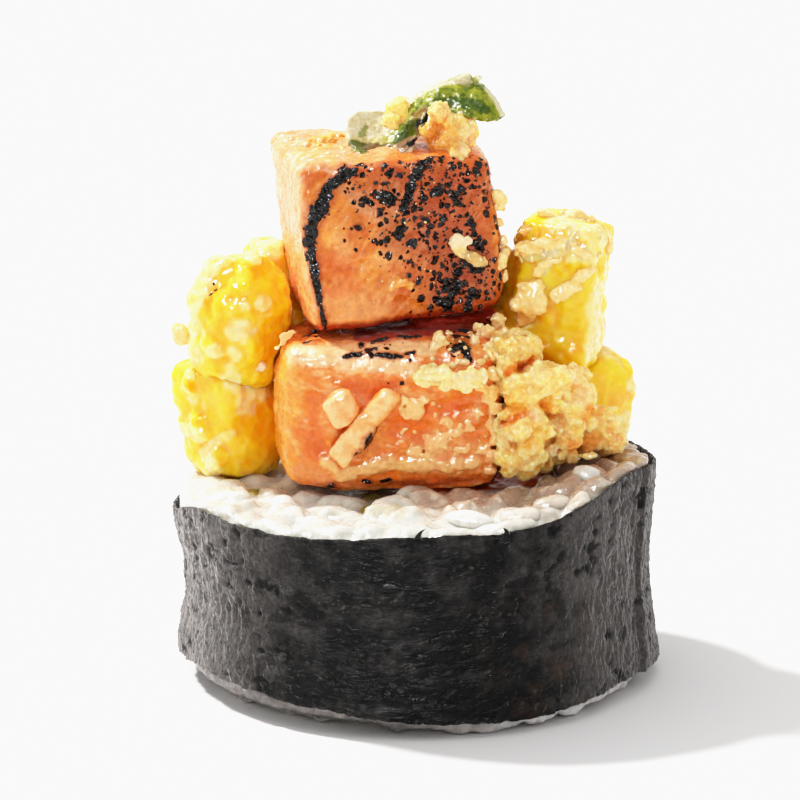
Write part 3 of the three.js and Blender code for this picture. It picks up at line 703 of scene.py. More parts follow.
def grain(rng, centre, axis, up, length=None, flat=None):
    P = GRAIN[0].copy()
    L = (length or rng.normal(5.6, 0.45)) / 2
    w, h = rng.normal(2.7, 0.16) / 2, rng.normal(2.2, 0.15) / 2
    P[:, 1] *= 1 + 0.10 * P[:, 0]
    P[:, 2] += 0.16 * rng.normal() * (P[:, 0] ** 2 - 0.4)
    P[:, 1] += 0.14 * rng.normal() * (P[:, 0] ** 2 - 0.4)
    off = rng.uniform(-50, 50, 3)
    r = 1 + 0.13 * gn(P * 1.3 + off, 3)
    P[:, 1:] *= r[:, None]
    P = P * [L, w, h]
    axis = axis / np.linalg.norm(axis)
    side = np.cross(up, axis)
    side /= np.linalg.norm(side)
    top = np.cross(axis, side)
    Q = centre + P[:, :1] * axis + P[:, 1:2] * side + P[:, 2:3] * top
    return Q


def pack_grains(rng, spots, room, tries, near=2.35):
    """Picks places and directions for grains so that they lie beside each other. spots(rng) gives (centre, up) or None."""
    segs = np.zeros((0, 5, 3))
    chosen = []
    s5 = np.linspace(-1, 1, 5)[:, None]
    for _ in range(tries):
        if len(chosen) >= room:
            break
        got = spots(rng)
        if got is None:
            continue
        c, up, hint = got
        for _ in range(4):
            d = rng.normal(size=3) if hint is None else hint + rng.normal(size=3) * 0.55
            d -= up * (d @ up) * 0.95
            d /= np.linalg.norm(d)
            pts = c + s5 * d * 1.9
            if len(segs) == 0 or np.sqrt(((segs[:, :, None] - pts[None, None]) ** 2).sum(-1)).min() > near:
                segs = np.concatenate([segs, pts[None]])
                chosen.append((c, d, up))
                break
    return chosen


def keep_inside(P):
    """Nothing of the rice passes through the sheet round it."""
    a = np.arctan2(P[:, 0], -P[:, 1])
    r = np.hypot(P[:, 0], P[:, 1])
    top, low = top_edge(a), around(BOTTOM_EDGE, a)
    t = np.clip((P[:, 2] - low) / (top - low), 0, 1)
    wall = sheet_radius(a, t)
    limit = np.where(P[:, 2] > top - 0.15, wall - 0.15, wall - 0.85)
    limit = np.where(P[:, 2] < low + 0.1, wall - 0.35, limit)
    k = np.minimum(1, limit / r.clip(1e-6))
    out = P.copy()
    out[:, 0] *= k
    out[:, 1] *= k
    return out


def disc(r_of, z_low, z_high, step=0.7, nth=150):
    """A closed slab: z_high(x, y) on top, z_low(x, y) below, out to the radius r_of(angle)."""
    nr = int(27 / step)
    th = np.linspace(-math.pi, math.pi, nth, endpoint=False)
    R = r_of(th)
    s = np.linspace(0, 1, nr + 1)[1:]
    X = (np.sin(th)[:, None] * R[:, None] * s[None]).ravel()
    Y = (-np.cos(th)[:, None] * R[:, None] * s[None]).ravel()
    X, Y = np.append(X, 0), np.append(Y, 0)
    top = np.stack([X, Y, z_high(X, Y)], 1)
    bot = np.stack([X, Y, z_low(X, Y)], 1)
    n = len(X)
    F = []
    i = np.arange(nth)
    i2 = (i + 1) % nth
    for k in range(nr - 1):
        a, b, c, d = i * nr + k, i * nr + k + 1, i2 * nr + k + 1, i2 * nr + k
        F += [np.stack([a, b, c], 1), np.stack([a, c, d], 1)]
    F.append(np.stack([np.full(nth, n - 1), i * nr, i2 * nr], 1))
    F = np.concatenate(F)
    a, b = i * nr + nr - 1, i2 * nr + nr - 1
    W = np.concatenate([np.stack([a, a + n, b + n], 1), np.stack([a, b + n, b], 1)])
    return np.concatenate([top, bot]), np.concatenate([F, F[:, ::-1] + n, W])


def rice():
    rng = np.random.default_rng(11)
    V, F = cad("rice")
    skin = tree(V, F)
    V, F = remesh(V, F, 1.1)
    V = relax(V, F, 2)
    N = normals(V, F)
    top = sm(0.35, 0.8, N[:, 2]) * sm(17, 20, V[:, 2])
    under = sm(-0.4, -0.9, N[:, 2]) * sm(1.6, 0.6, V[:, 2])
    V[:, 2] += -2.2 * top + under * 1.2
    hem = sm(4.5, 3.0, V[:, 2])
    V[:, :2] *= (1 - 0.05 * hem)[:, None]
    V = keep_inside(V * [0.985, 0.985, 1])
    piece("rice_core", V, F, M_RICE, ["rice"], np.tile(srgb(214, 208, 194), (len(V), 1)))

    blockers = [tree(*cad(n)) for n in ("salmon_lower", "mango_left_lower", "mango_right_lower", "crumbs_right")]

    def height(x, y, start=40):
        p, n, _, _ = skin.ray_cast(Vector((x, y, start)), Vector((0, 0, -1)))
        if (p is None or p.z < 19) and y < 6:
            u = seen(np.array([[x, y, 22.6]]))[0, 0]
            if 150 < u < 362:
                return Vector((x, y, 22.7)), Vector((0, 0, 1))
        return p, n

    def on_top(rng, drop=0.95, rim=25.9, inner=0.0):
        rad, ang = rim * math.sqrt(rng.uniform(inner, 1)), rng.uniform(-math.pi, math.pi)
        x, y = rad * math.sin(ang), -rad * math.cos(ang)
        p, n = height(x, y)
        if p is None or p.z < 20:
            return None
        for b in blockers:
            q = b.ray_cast(Vector((x, y, 60)), Vector((0, 0, -1)))[0]
            if q is not None and b.ray_cast(Vector((x, y, 10)), Vector((0, 0, 1)))[0].z < p.z + 0.5:
                return None
        n = np.array(n)
        up = n + rng.normal(size=3) * 0.2
        up /= np.linalg.norm(up)
        hint = None
        if rad > rim - 2.6:
            hint = np.array([math.cos(ang), math.sin(ang), 0.0]) * 1.2
        return np.array(p) - n * (drop + 0.3 * rng.uniform(-1, 1)), up, hint

    first = pack_grains(rng, on_top, 230, 6000, 2.15)
    rim_g = pack_grains(rng, lambda g: on_top(g, 0.8, 26.0, 0.86), 60, 1500, 2.2)
    second = pack_grains(rng, lambda g: on_top(g, 1.9), 150, 2600, 2.2)

    def top_of(x, y):
        out = np.empty(len(x))
        for k in range(len(x)):
            p, _ = height(x[k] * 0.985, y[k] * 0.985)
            out[k] = (p.z if p is not None and p.z > 19 else 23.0) - 1.15
        out = np.where(out < 19.5, 20.5, out)
        ang, rad = np.arctan2(x, -y), np.hypot(x, y)
        out = out + 1.7 * sm(-1.2, -1.65, ang) * sm(-3.0, -2.5, ang) * sm(18, 24, rad)
        return out

    slab = disc(lambda a: sheet_radius(a, np.ones_like(a)) - 0.75, lambda x, y: 18.8 + 0 * x, top_of)
    parts = [slab] + [(keep_inside(grain(rng, c, d, up)), GRAIN[1]) for c, d, up in first + rim_g + second]
    V, F = remesh(*join(parts), 0.34)
    E = edges_of(F)
    soft = relax(V, F, 6, 0.5, E)
    mass = sm(9.0, -3.0, V[:, 0] + 0.45 * V[:, 1] + 3 * gn(V / 6, 30))
    V = V + (soft - V) * 0.9
    more = relax(V, F, 14, 0.5, E)
    V = V + (more - V) * (0.62 + 0.34 * mass)[:, None]
    N = normals(V, F)
    V = V + N * ((0.14 - 0.05 * mass) * fbm(V / 1.3, 3, 31) + 0.10 * (0.4 - cells(warp(V, 2, 0.6, 37) / [1.9, 1.6, 1.2], 38)[0]))[:, None]
    V = keep_inside(V)
    U = seen(V)
    n1, n2 = fbm(V / 5.0, 3, 32), fbm(V / 1.4, 3, 33)
    # the rice away from the front left painted darker and warmer: painted shade and orange bounce light from the fish
    wet = sm(9.0, -3.0, V[:, 0] + 0.45 * V[:, 1])[:, None]
    col = mix(srgb(206, 200, 188), srgb(180, 172, 158), np.clip(0.4 + 0.5 * n2, 0, 1))
    col = col * (1 - wet) + mix(srgb(218, 219, 211), srgb(199, 200, 191), np.clip(0.4 + 0.5 * n2, 0, 1)) * wet
    # tan at the right front: partly sauce, partly painted shade and orange bounce light under the tower
    sauce = marks(U, [[(480, 490, 30), (560, 476, 34), (640, 445, 30)], [(430, 496, 20), (520, 492, 26)]]) + 0.35 * n1
    col = mix(col, srgb(182, 154, 134), 0.8 * sm(-0.4, 0.7, sauce) * (V[:, 1] < 12))
    col = mix(col, srgb(232, 228, 218), 0.6 * sm(0.25, 0.7, fbm(V / 1.1, 2, 34)))
    near = marks(U, [[(366, 508, 9), (400, 512, 8)]]) + 0.3 * n2
    col = mix(col, srgb(176, 160, 110), 0.4 * sm(-0.2, 0.6, near))
    piece("rice_top", V, F, M_RICE, (), col)

    # separate grains that lie loose on the mass
    loose, tones = [], []
    for u, v, ang, lng, tone in [(470, 517, -24, 5.6, 0.0), (521, 514, 12, 4.8, 0.35), (586, 471, -35, 3.4, 0.0), (552, 502, 15, 4.8, 0.5)]:
        p, nrm = hit(skin, u, v)
        if p is None or p[2] < 20.5:
            continue
        up = nrm * 0.6 + np.array([0, -0.45, 0.7])
        up /= np.linalg.norm(up)
        d = np.array([math.cos(math.radians(ang)), 0.35 * math.sin(math.radians(ang)), math.sin(math.radians(ang)) * 0.5])
        d -= up * (d @ up)
        Q = keep_inside(grain(rng, p - nrm * 0.25 - np.array([0, 0, 0.2]), d, up, lng))
        loose.append((Q, GRAIN[1]))
        tones.append(np.tile(mix(srgb(230, 227, 218), srgb(192, 162, 136), np.array([tone]))[0], (len(Q), 1)))
    V, F = join(loose)
    piece("rice_loose", V, F, M_RICE, (), np.concatenate(tones))

    low_ring = [0.6, 0.8, 1.3, 1.7, 2.2, 1.3, 0.35, 0.25, 0.5, 0.4, 0.4, 0.5]

    def on_hem(rng):
        ang = rng.uniform(-math.pi, math.pi)
        low = float(around(low_ring, np.array([ang]))[0])
        edge = float(around(BOTTOM_EDGE, np.array([ang]))[0])
        R = float(sheet_radius(np.array([ang]), np.array([0.0]))[0])
        z = max(1.2, rng.uniform(low + 0.8, edge + 0.6))
        rad = R - 2.1 - 0.4 * max(0.0, (edge - z)) + rng.uniform(-0.25, 0.15)
        out = np.array([math.sin(ang), -math.cos(ang), 0.0])
        along = np.array([math.cos(ang), math.sin(ang), 0.0])
        return np.array([rad * math.sin(ang), -rad * math.cos(ang), z]), out, along * 2.2

    def on_base(rng):
        rad, ang = 24.3 * math.sqrt(rng.uniform(0, 1)), rng.uniform(-math.pi, math.pi)
        x, y = rad * math.sin(ang), -rad * math.cos(ang)
        p = skin.ray_cast(Vector((x, y, -5)), Vector((0, 0, 1)))[0]
        if p is None or p.z > 1.2:
            return None
        return np.array([x, y, 0.95 + rng.uniform(-0.25, 0.25)]), np.array([0, 0, -1.0]), None

    hem_g = pack_grains(rng, on_hem, 130, 3000, 1.7)
    base_g = pack_grains(rng, on_base, 190, 3600, 2.2)
    slab = disc(lambda a: sheet_radius(a, np.zeros_like(a)) - 1.7, lambda x, y: 0.75 + 0 * x, lambda x, y: 3.4 + 0 * x)
    parts = [slab]
    for c, d, up in hem_g + base_g:
        Q = keep_inside(grain(rng, c, d, up))
        Q[:, 2] = np.where(Q[:, 2] < 0.05, 0.05, Q[:, 2])
        parts.append((Q, GRAIN[1]))
    V, F = remesh(*join(parts), 0.40)
    E = edges_of(F)
    soft = relax(V, F, 4, 0.5, E)
    V = V + (soft - V) * 0.7
    N = normals(V, F)
    V = V + N * ((0.16 * fbm(V / 1.0, 3, 39) + 0.22 * (0.4 - cells(V / 1.5, 40)[0])) * (V[:, 2] > 0.4))[:, None]
    a = np.arctan2(V[:, 0], -V[:, 1])
    tuck = sm(1.9, 0.7, V[:, 2]) * sm(0.1, -0.35, a) * sm(-2.6, -2.0, a)
    V[:, :2] *= (1 - 0.055 * tuck)[:, None]
    V = keep_inside(V)
    V[:, 2] = V[:, 2].clip(0.02)
    n2 = fbm(V / 1.4, 3, 36)
    r = np.hypot(V[:, 0], V[:, 1])
    rim = sm(23.5, 25.5, r)
    col = mix(srgb(236, 231, 220), srgb(216, 210, 198), np.clip(0.4 + 0.5 * n2, 0, 1))
    # the outer rim painted grey: painted shade of the recessed hem, lighter again at the right
    col = mix(col, mix(srgb(178, 172, 170), srgb(136, 130, 128), np.clip(0.4 + 0.7 * n2, 0, 1)), 0.9 * rim)
    a = np.arctan2(V[:, 0], -V[:, 1])
    lefts = sm(0.15, -0.3, a) * sm(-2.6, -2.0, a)
    col = mix(col, srgb(236, 232, 230), 0.85 * rim * sm(0.1, 0.5, a) * sm(-0.5, 0.4, n2 + 0.2))
    # the left of the rim painted darker grey and near black at its foot: painted shade under the lifted rice
    col = mix(col, srgb(118, 113, 112), 0.75 * rim * lefts)
    col = mix(col, srgb(60, 57, 57), 0.8 * rim * lefts * sm(2.0, 1.2, V[:, 2] + 0.3 * n2))
    piece("rice_base", V, F, M_RICE, (), col)


# ---- fillings -----------------------------------------------------------------------------------------
def fillings():
    looks = {
        "filling_avocado": ("avocado", srgb(176, 165, 98), srgb(128, 118, 52), 5),
        "filling_salmon": ("filling", srgb(196, 76, 22), srgb(226, 128, 62), 6),
        "filling_cucumber": ("cucumber", srgb(150, 166, 84), srgb(92, 118, 38), 7),
    }
    for name, (slot, a, b, seed) in looks.items():
        V, F = remesh(*cad(name), 0.45)
        V = relax(V, F, 3)
        N = normals(V, F)
        lo, hi = V.min(0), V.max(0)
        inside = sm(0.0, 1.0, 1.0)
        top = sm(hi[2] - 2, hi[2], V[:, 2])
        V = V + N * (0.22 * fbm(V / 2.4, 3, seed) * (V[:, 2] > 0.6))[:, None]
        V[:, 2] += top * 0.6 * fbm(V / 3.0, 3, seed + 30)
        if name == "filling_avocado":
            U = seen(V)
            V[:, 2] -= 2.4 * top * sm(258, 270, U[:, 0]) * sm(364, 352, U[:, 0])
        V[:, 2] = np.clip(V[:, 2], 0.03, None)
        f1, _, rid = cells(V / 1.6, seed + 3)
        rim = sm(0.35, 0.0, np.abs(N[:, 2]))
        t = np.clip(0.5 + 0.7 * fbm(V / 2.5, 3, seed + 9) + 0.3 * (rid - 0.5), 0, 1)
        col = mix(a, b, t)
        if name == "filling_salmon":
            col = mix(col, srgb(240, 190, 150), 0.7 * sm(0.78, 0.95, ridge(V * [1 / 5.0, 1 / 1.6, 1 / 9.0], 2, 71)))
        if name == "filling_cucumber":
            col = mix(col, srgb(52, 84, 22), 0.8 * rim * sm(0.3, 0.6, V[:, 1] / 20))
        piece(name + "_piece", V, F, M_FILL, [name], col)


# ---- salmon ---------------------------------------------------------------------------------------------
def blisters(V, size, seed):
    f1, f2, rid = cells(V / size, seed)
    return np.clip(1 - (f1 / 0.62) ** 2, 0, 1), rid


CHAR_UPPER = [
    [(354, 171, 5), (345, 172, 6), (337, 180, 5), (329, 190, 5.5), (321, 203, 7), (314, 216, 7.5), (309, 228, 6), (308, 240, 6),
     (310, 253, 6), (314, 268, 5), (317, 284, 3.8), (320, 302, 3.0), (323, 318, 2.6), (325, 328, 2.4)],
    [(433, 153, 4), (427, 158, 5), (421, 166, 6), (416, 176, 6), (412, 187, 5), (409, 198, 5.5), (404, 210, 5)],
    (404, 222, 3.4), [(400, 230, 5.5), (395, 235, 4)], (424, 198, 4.5), (432, 195, 3), (414, 205, 4),
    [(384, 196, 6), (392, 201, 6)], (377, 194, 4.5), (371, 203, 3), (381, 214, 3.6), (400, 175, 3.6), (385, 166, 3.2), (376, 184, 2.8), (359, 227, 3.6), (393, 170, 2.4),
    (399, 238, 3), (412, 244, 4.5), (424, 236, 3.4), (436, 238, 3), (434, 190, 3.4), [(452, 197, 3), (460, 204, 3.6)], (450, 213, 3), (463, 190, 2.6), (444, 190, 2.6), (479, 238, 3),
    [(464, 258, 3.4), (471, 264, 6), (480, 268, 5), (487, 262, 4)], (462, 284, 3), [(473, 290, 3.6), (469, 303, 5)], (487, 292, 3), (418, 281, 3.6), (409, 276, 2.4), [(440, 280, 3), (450, 285, 3)], [(438, 299, 3), (446, 306, 6), (450, 297, 4.5)],
    (489, 165, 3.4), (491, 174, 2.4), (454, 166, 2.6), (440, 157, 5), (430, 160, 3), (486, 190, 2.2), (428, 222, 2.8), (408, 262, 2.6), (475, 225, 2.2),
]
SPECKS_UPPER = [(452, 192, 44, 0.58), (446, 235, 44, 0.62), (468, 266, 36, 0.74), (455, 290, 36, 0.72), (388, 196, 30, 0.50), (382, 175, 26, 0.40), (350, 222, 24, 0.22), (400, 236, 26, 0.60), (478, 200, 28, 0.42), (424, 212, 28, 0.70), (480, 296, 20, 0.50), (420, 262, 20, 0.4), (360, 190, 16, 0.35)]


def density(U, blobs):
    out = np.zeros(len(U))
    for u, v, r, d in blobs:
        out = np.maximum(out, d * np.exp(-(((U[:, 0] - u) ** 2 + (U[:, 1] - v) ** 2) / (r * r)) ** 1.5))
    return out


def sides_of(N):
    return [sm(0.3, 0.75, v) for v in (-N[:, 0], N[:, 2], -N[:, 1], N[:, 1], N[:, 0], -N[:, 2])]


def salmon_upper():
    V, F = remesh(*cad("salmon_upper"), 0.245)
    E = edges_of(F)
    V = relax(V, F, 8, 0.5, E)
    N = normals(V, F)
    V = V + N * (0.38 * fbm(V / 5.5, 3, 200) + 0.06)[:, None]
    # the flesh: thin sheets of muscle that show as soft lines, running up the left side and across the top
    sheets = ridge(warp(V, 6, 1.5, 205) * [1 / 7.0, 1 / 1.3, 1 / 12.0], 3, 206)
    N = normals(V, F)
    left, topf, front, back, right, under = sides_of(N)
    U = seen(V)
    face = sm(0.12, 0.4, facing(V, N)) * sm(0.25, 0.6, front)
    field = marks(U, CHAR_UPPER) + 0.40 * fbm(V / 1.5, 3, 213)
    field = np.where(face > 0.3, field, -2.0)
    # char on the sides that the front view doesn't show: along the edges, and in scattered crusts
    hidden = np.clip(back + right, 0, 1) * (1 - sm(0.1, 0.4, face)) * (1 - topf)
    edge = sm(0.35, 0.62, np.sort(np.abs(N), 1)[:, 1])
    crust = 2.4 * (fbm(V * [1 / 5.0, 1 / 5.0, 1 / 9.0], 3, 214) - 0.34 + 0.12 * edge)
    field = np.maximum(field, np.where(hidden > 0.4, crust, -2.0))
    dens = density(U, SPECKS_UPPER) * face + 0.5 * hidden * sm(-0.2, 0.4, fbm(V / 5, 2, 217))
    mask = sm(-0.1, 0.2, field + 0.5 * fbm(V / 0.9, 3, 210))
    mask = np.maximum(mask, 0)
    dome, _ = blisters(warp(V, 1.0, 0.2, 218), 0.8, 219)
    soft = relax(mask, F, 2, 0.5, E)
    wide = relax(mask, F, 30, 0.5, E)
    lumpy = gn(V / 1.3, 222) * sm(0.1, 0.5, dens)
    flakes = ridge(warp(V, 3, 1.2, 223) * [1 / 4.5, 1 / 4.5, 1 / 3.0], 2, 224)
    rel = 0.10 * fbm(V / 1.6, 3, 220) * (1 - left * 0.5) - 0.16 * sheets * (left + 0.7 * topf) + 0.05 * fbm(V / 0.6, 2, 221)
    rel = rel + soft * (0.05 + 0.24 * dome) - 0.10 * wide + 0.12 * lumpy - 0.10 * flakes * front
    groove = marks(U, [[(345, 186, 6), (360, 200, 6), (384, 214, 6)], [(398, 180, 5), (396, 205, 5), (390, 222, 4)], [(330, 262, 6), (350, 270, 6), (372, 262, 5)], [(400, 300, 5), (430, 312, 6)]])
    rel = rel - 0.22 * sm(-0.4, 1, groove) * face
    V = V + N * rel[:, None]
    # colours
    big, fine = fbm(V / 4.0, 3, 230), fbm(V / 1.0, 3, 231)
    col = mix(srgb(206, 104, 20), srgb(236, 152, 54), np.clip(0.45 + 0.65 * big + 0.45 * fine, 0, 1))
    col = mix(col, srgb(176, 70, 10), 0.65 * sm(0.15, 0.7, density(U, [(430, 165, 60, 0.9), (470, 190, 50, 0.9), (450, 240, 50, 0.8), (380, 180, 40, 0.6), (470, 290, 44, 0.8)]) + 0.25 * fine) * face)
    col = mix(col, srgb(196, 84, 30), 0.6 * hidden * sm(-0.3, 0.4, big))
    # the left side and the top painted pale: painted light of the key from the left and above; the muscle lines on them
    # are the flesh's own
    lit_side = np.clip(left + 0.8 * topf, 0, 1)
    col = mix(col, mix(srgb(250, 186, 136), srgb(244, 156, 92), np.clip(0.5 + 0.9 * big, 0, 1)), lit_side * 0.92)
    col = mix(col, srgb(255, 216, 188), 0.6 * sm(0.55, 0.85, sheets) * lit_side)
    col = mix(col, srgb(240, 150, 84), 0.5 * sm(0.5, 0.9, flakes) * front * (1 - 0.5 * hidden))
    q = np.stack([V @ [0.86, 0.0, -0.5] / 0.75, V[:, 1] / 1.5, V @ [0.5, 0.0, 0.86] / 3.6], 1)
    streak = fbm(warp(q, 2.5, 0.8, 232), 4, 233)
    col = mix(col, srgb(250, 186, 118), 0.45 * sm(0.10, 0.6, streak) * (1 - 0.4 * hidden))
    col = mix(col, srgb(178, 74, 16), 0.30 * sm(0.12, 0.6, -streak) * (1 - lit_side))
    # paler flesh at the lower left of the front: painted light
    lit_flesh = marks(U, [[(345, 300, 22), (380, 316, 18), (340, 320, 14)], [(386, 260, 10), (398, 252, 10)], [(340, 240, 10), (345, 262, 10)]]) + 0.45 * fine
    col = mix(col, srgb(246, 172, 108), 0.6 * sm(-0.4, 0.6, lit_flesh) * face)
    tan = marks(U, [[(344, 190, 7), (362, 205, 9), (386, 222, 7)], (383, 237, 7), [(425, 228, 5), (424, 246, 5)], [(397, 185, 4), (394, 215, 5)]])
    col = mix(col, srgb(226, 160, 112), 0.7 * sm(-0.3, 0.5, tan + 0.4 * fine) * face)
    orange = marks(U, [[(325, 262, 12), (350, 275, 14)], [(365, 165, 10), (400, 160, 12)], (470, 172, 14), [(330, 292, 8), (360, 285, 10)]]) + 0.4 * fine
    col = mix(col, srgb(226, 110, 36), 0.5 * sm(-0.3, 0.6, orange) * face)
    sauce = marks(U, [[(322, 140, 12), (338, 134, 10)], [(300, 150, 8), (330, 156, 7)]]) + 0.5 * fine
    col = mix(col, srgb(255, 176, 84), 0.7 * sm(-0.2, 0.6, sauce) * topf)
    # whitish patches on the left of the top: painted highlights
    col = mix(col, srgb(255, 226, 206), 0.7 * sm(0.2, 0.6, fbm(V / 0.8, 3, 236)) * topf * sm(360, 320, U[:, 0]))
    # the underside painted dark red: painted shade
    col = mix(col, srgb(158, 30, 6), 0.85 * under)
    col = mix(col, srgb(240, 120, 18), 0.75 * sm(-0.4, 0.4, marks(seen(V), [[(392, 158, 7), (412, 152, 9), (428, 150, 9), (440, 156, 8), (470, 158, 10)]])))
    piece("salmon_upper_cube", V, F, M_SALMON, ["salmon_upper"], col, 1.0, {"Char": np.maximum(field, -2), "Dens": dens})
    return V, F


CHAR_LOWER = [
    [(344, 357, 2), (352, 355, 2.8), (361, 355, 2)], [(366, 351, 1.5), (372, 356, 2.2)], [(378, 355, 2), (390, 356, 2.8), (401, 356, 2.2)], [(405, 353, 1.4), (414, 353, 1.8)],
    (361, 345, 2.6), [(372, 342, 1.4), (386, 338, 1.8)], [(398, 338, 1.8), (412, 336, 2.2), (421, 336, 1.4)], [(366, 350, 1.5), (376, 349, 1.6)], [(306, 339, 4), (315, 336, 5)],
    [(452, 350, 3), (462, 345, 5), (466, 352, 4), (471, 361, 2)], [(456, 334, 4), (465, 332, 5)], [(288, 341, 1.4), (294, 337, 1.2)],
    (331, 487, 4), [(364, 481, 2), (370, 482, 2.4)], [(382, 482, 1.6), (390, 480, 1.6)], (293, 490, 2.6), (432, 346, 2), (410, 360, 1.8), [(480, 327, 4), (495, 325, 5)],
]


def salmon_lower():
    # flesh that fills the gap under the far corner of the upper cube
    rng = np.random.default_rng(303)
    fill = [lump(rng, place(u, v, y, None)[0], (wd / 8.64, ht / 8.64, 6.0), view_frame(0), level=BALL3, cuts=4, keep=0.85) for u, v, wd, ht, y in [(440, 322, 60, 14, 1.0), (470, 318, 52, 16, 2.0), (488, 316, 30, 18, 2.0)]]
    V, F = remesh(*join([cad("salmon_lower")] + fill), 0.25)
    E = edges_of(F)
    V = relax(V, F, 8, 0.5, E)
    N = normals(V, F)
    V = V + N * (0.34 * fbm(V / 5.5, 3, 300) + 0.05)[:, None]
    N = normals(V, F)
    U = seen(V)
    left, topf, front, back, right, under = sides_of(N)
    face = sm(0.12, 0.4, facing(V, N)) * sm(0.2, 0.6, np.clip(front + topf, 0, 1))
    w = warp(V, 7, 2.0, 305)
    bent = w.copy()
    bent[:, 2] = w[:, 2] + 0.25 * w[:, 0]
    lines = ridge(bent * [1 / 11.0, 1 / 5.0, 1 / 1.1], 3, 306)
    field = np.where(face > 0.3, marks(U, CHAR_LOWER), -2.0)
    hidden = np.clip(back + right, 0, 1) * (1 - sm(0.1, 0.4, face))
    crust = 2.4 * (fbm(V * [1 / 6.0, 1 / 6.0, 1 / 4.0], 3, 314) - 0.36)
    field = np.maximum(field, np.where(hidden > 0.4, crust, -2.0))
    dens = 0.34 * hidden * sm(-0.2, 0.4, fbm(V / 5, 2, 317)) + density(U, [(462, 345, 14, 0.4), (390, 350, 30, 0.12)]) * face
    mask = sm(-0.1, 0.2, field + 0.5 * fbm(V / 0.9, 3, 310))
    dome, _ = blisters(V, 0.8, 319)
    soft = relax(mask, F, 2, 0.5, E)
    ledge = marks(U, [[(328, 462, 8), (340, 474, 9), (362, 470, 9), (385, 463, 9), (415, 464, 9), (450, 466, 8), (478, 462, 6)]]) + 0.45 * fbm(V / 1.2, 3, 321)
    ledge = sm(-0.1, 0.6, ledge) * face
    hollow = marks(U, [[(350, 386, 8), (372, 392, 11), (395, 385, 7)], [(352, 420, 6), (340, 445, 6)], [(395, 430, 12), (420, 432, 12)], [(395, 488, 7), (440, 484, 7), (480, 482, 6)], [(310, 400, 7), (316, 430, 8), (322, 450, 6)], [(405, 412, 6), (440, 408, 8), (470, 400, 6)]])
    hollow = sm(-0.6, 0.7, hollow + 0.35 * fbm(V / 2, 3, 322)) * face
    chunky = gn(warp(V, 2, 0.5, 324) / 1.9, 325) * sm(385, 405, U[:, 0]) * face
    rel = 0.10 * fbm(V / 1.7, 3, 320) + 0.06 * fbm(V / 0.6, 2, 323) - 0.14 * lines * (1 - 0.5 * topf)
    rel = rel + soft * (0.05 + 0.2 * dome) + 0.45 * ledge - 0.45 * hollow + 0.22 * chunky
    rel = rel - 0.14 * sm(368, 374, U[:, 1]) * sm(384, 376, U[:, 1]) * face * sm(430, 400, U[:, 0])
    V = V + N * rel[:, None]
    big, fine = fbm(V / 3.6, 3, 330), fbm(V / 1.0, 3, 331)
    col = mix(srgb(236, 124, 30), srgb(248, 160, 68), np.clip(0.45 + 0.65 * big + 0.4 * fine, 0, 1))
    col = mix(col, srgb(250, 184, 116), 0.55 * sm(0.55, 0.85, lines) * (1 - 0.3 * front))
    q = np.stack([V[:, 0] / 3.4, V[:, 1] / 1.6, (V[:, 2] + 0.25 * V[:, 0]) / 0.8], 1)
    streak = fbm(warp(q, 2.5, 0.8, 332), 4, 333)
    col = mix(col, srgb(254, 200, 142), 0.6 * sm(0.10, 0.6, streak))
    col = mix(col, srgb(212, 96, 30), 0.32 * sm(0.12, 0.6, -streak) * (1 - left))
    # lighter orange on the left third of the front, the flesh's own, and on the left-facing side: painted light from
    # the left
    lefty = sm(318, 282, U[:, 0] + 10 * fine) * face + left
    col = mix(col, mix(srgb(248, 158, 62), srgb(252, 190, 108), sm(0.4, 0.8, lines)), 0.8 * np.clip(lefty, 0, 1))
    # the top and its front edge painted pale peach: painted light from above
    band = marks(U, [[(283, 352, 14), (330, 356, 15), (380, 362, 13), (412, 368, 9)], [(330, 345, 8), (400, 345, 8), (430, 350, 8)]]) + 0.3 * fine
    col = mix(col, srgb(255, 204, 156), 0.88 * sm(-0.15, 0.45, band) * face)
    col = mix(col, srgb(252, 196, 136), 0.6 * topf * (1 - face))
    # hollows painted deeper orange: painted shade in the recesses
    col = mix(col, srgb(238, 122, 46), 0.7 * hollow)
    red = marks(U, [[(300, 430, 12), (318, 455, 12), (300, 470, 10)], [(420, 405, 14), (470, 430, 14)]]) + 0.4 * fine
    col = mix(col, srgb(232, 112, 44), 0.45 * sm(-0.2, 0.6, red) * face)
    pinkish = marks(U, [[(440, 452, 16), (480, 455, 14)], (476, 412, 12), [(300, 470, 10), (330, 482, 8)]]) + 0.4 * fine
    col = mix(col, srgb(240, 164, 108), 0.6 * sm(-0.2, 0.6, pinkish) * face)
    col = mix(col, srgb(252, 200, 136), 0.85 * ledge)
    # browner along the foot of the front, where it sits on the rice: painted shade
    foot = sm(477, 486, U[:, 1] + 3 * fine) * face
    col = mix(col, srgb(190, 98, 46), 0.6 * foot)
    # the top further back painted deeper orange and the gap under the upper cube dark red: painted shade
    gap = marks(U, [[(360, 336, 8), (392, 330, 12), (430, 324, 16), (466, 320, 12), (490, 316, 10)]])
    col = mix(col, srgb(240, 128, 44), 0.7 * topf * sm(-8.0, -5.0, V[:, 1]))
    col = mix(col, srgb(158, 22, 4), 0.92 * sm(-0.2, 0.4, gap + 0.2 * fine) * sm(-9.5, -7.5, V[:, 1]))
    col = mix(col, srgb(196, 78, 24), 0.5 * hidden * sm(-0.3, 0.4, big))
    piece("salmon_lower_cube", V, F, M_SALMON, ["salmon_lower"], col, 1.0 + 4.0 * sm(-0.2, 0.2, gap) * sm(-9.5, -7.5, V[:, 1]), {"Char": np.maximum(field, -2), "Dens": dens})
    return V, F


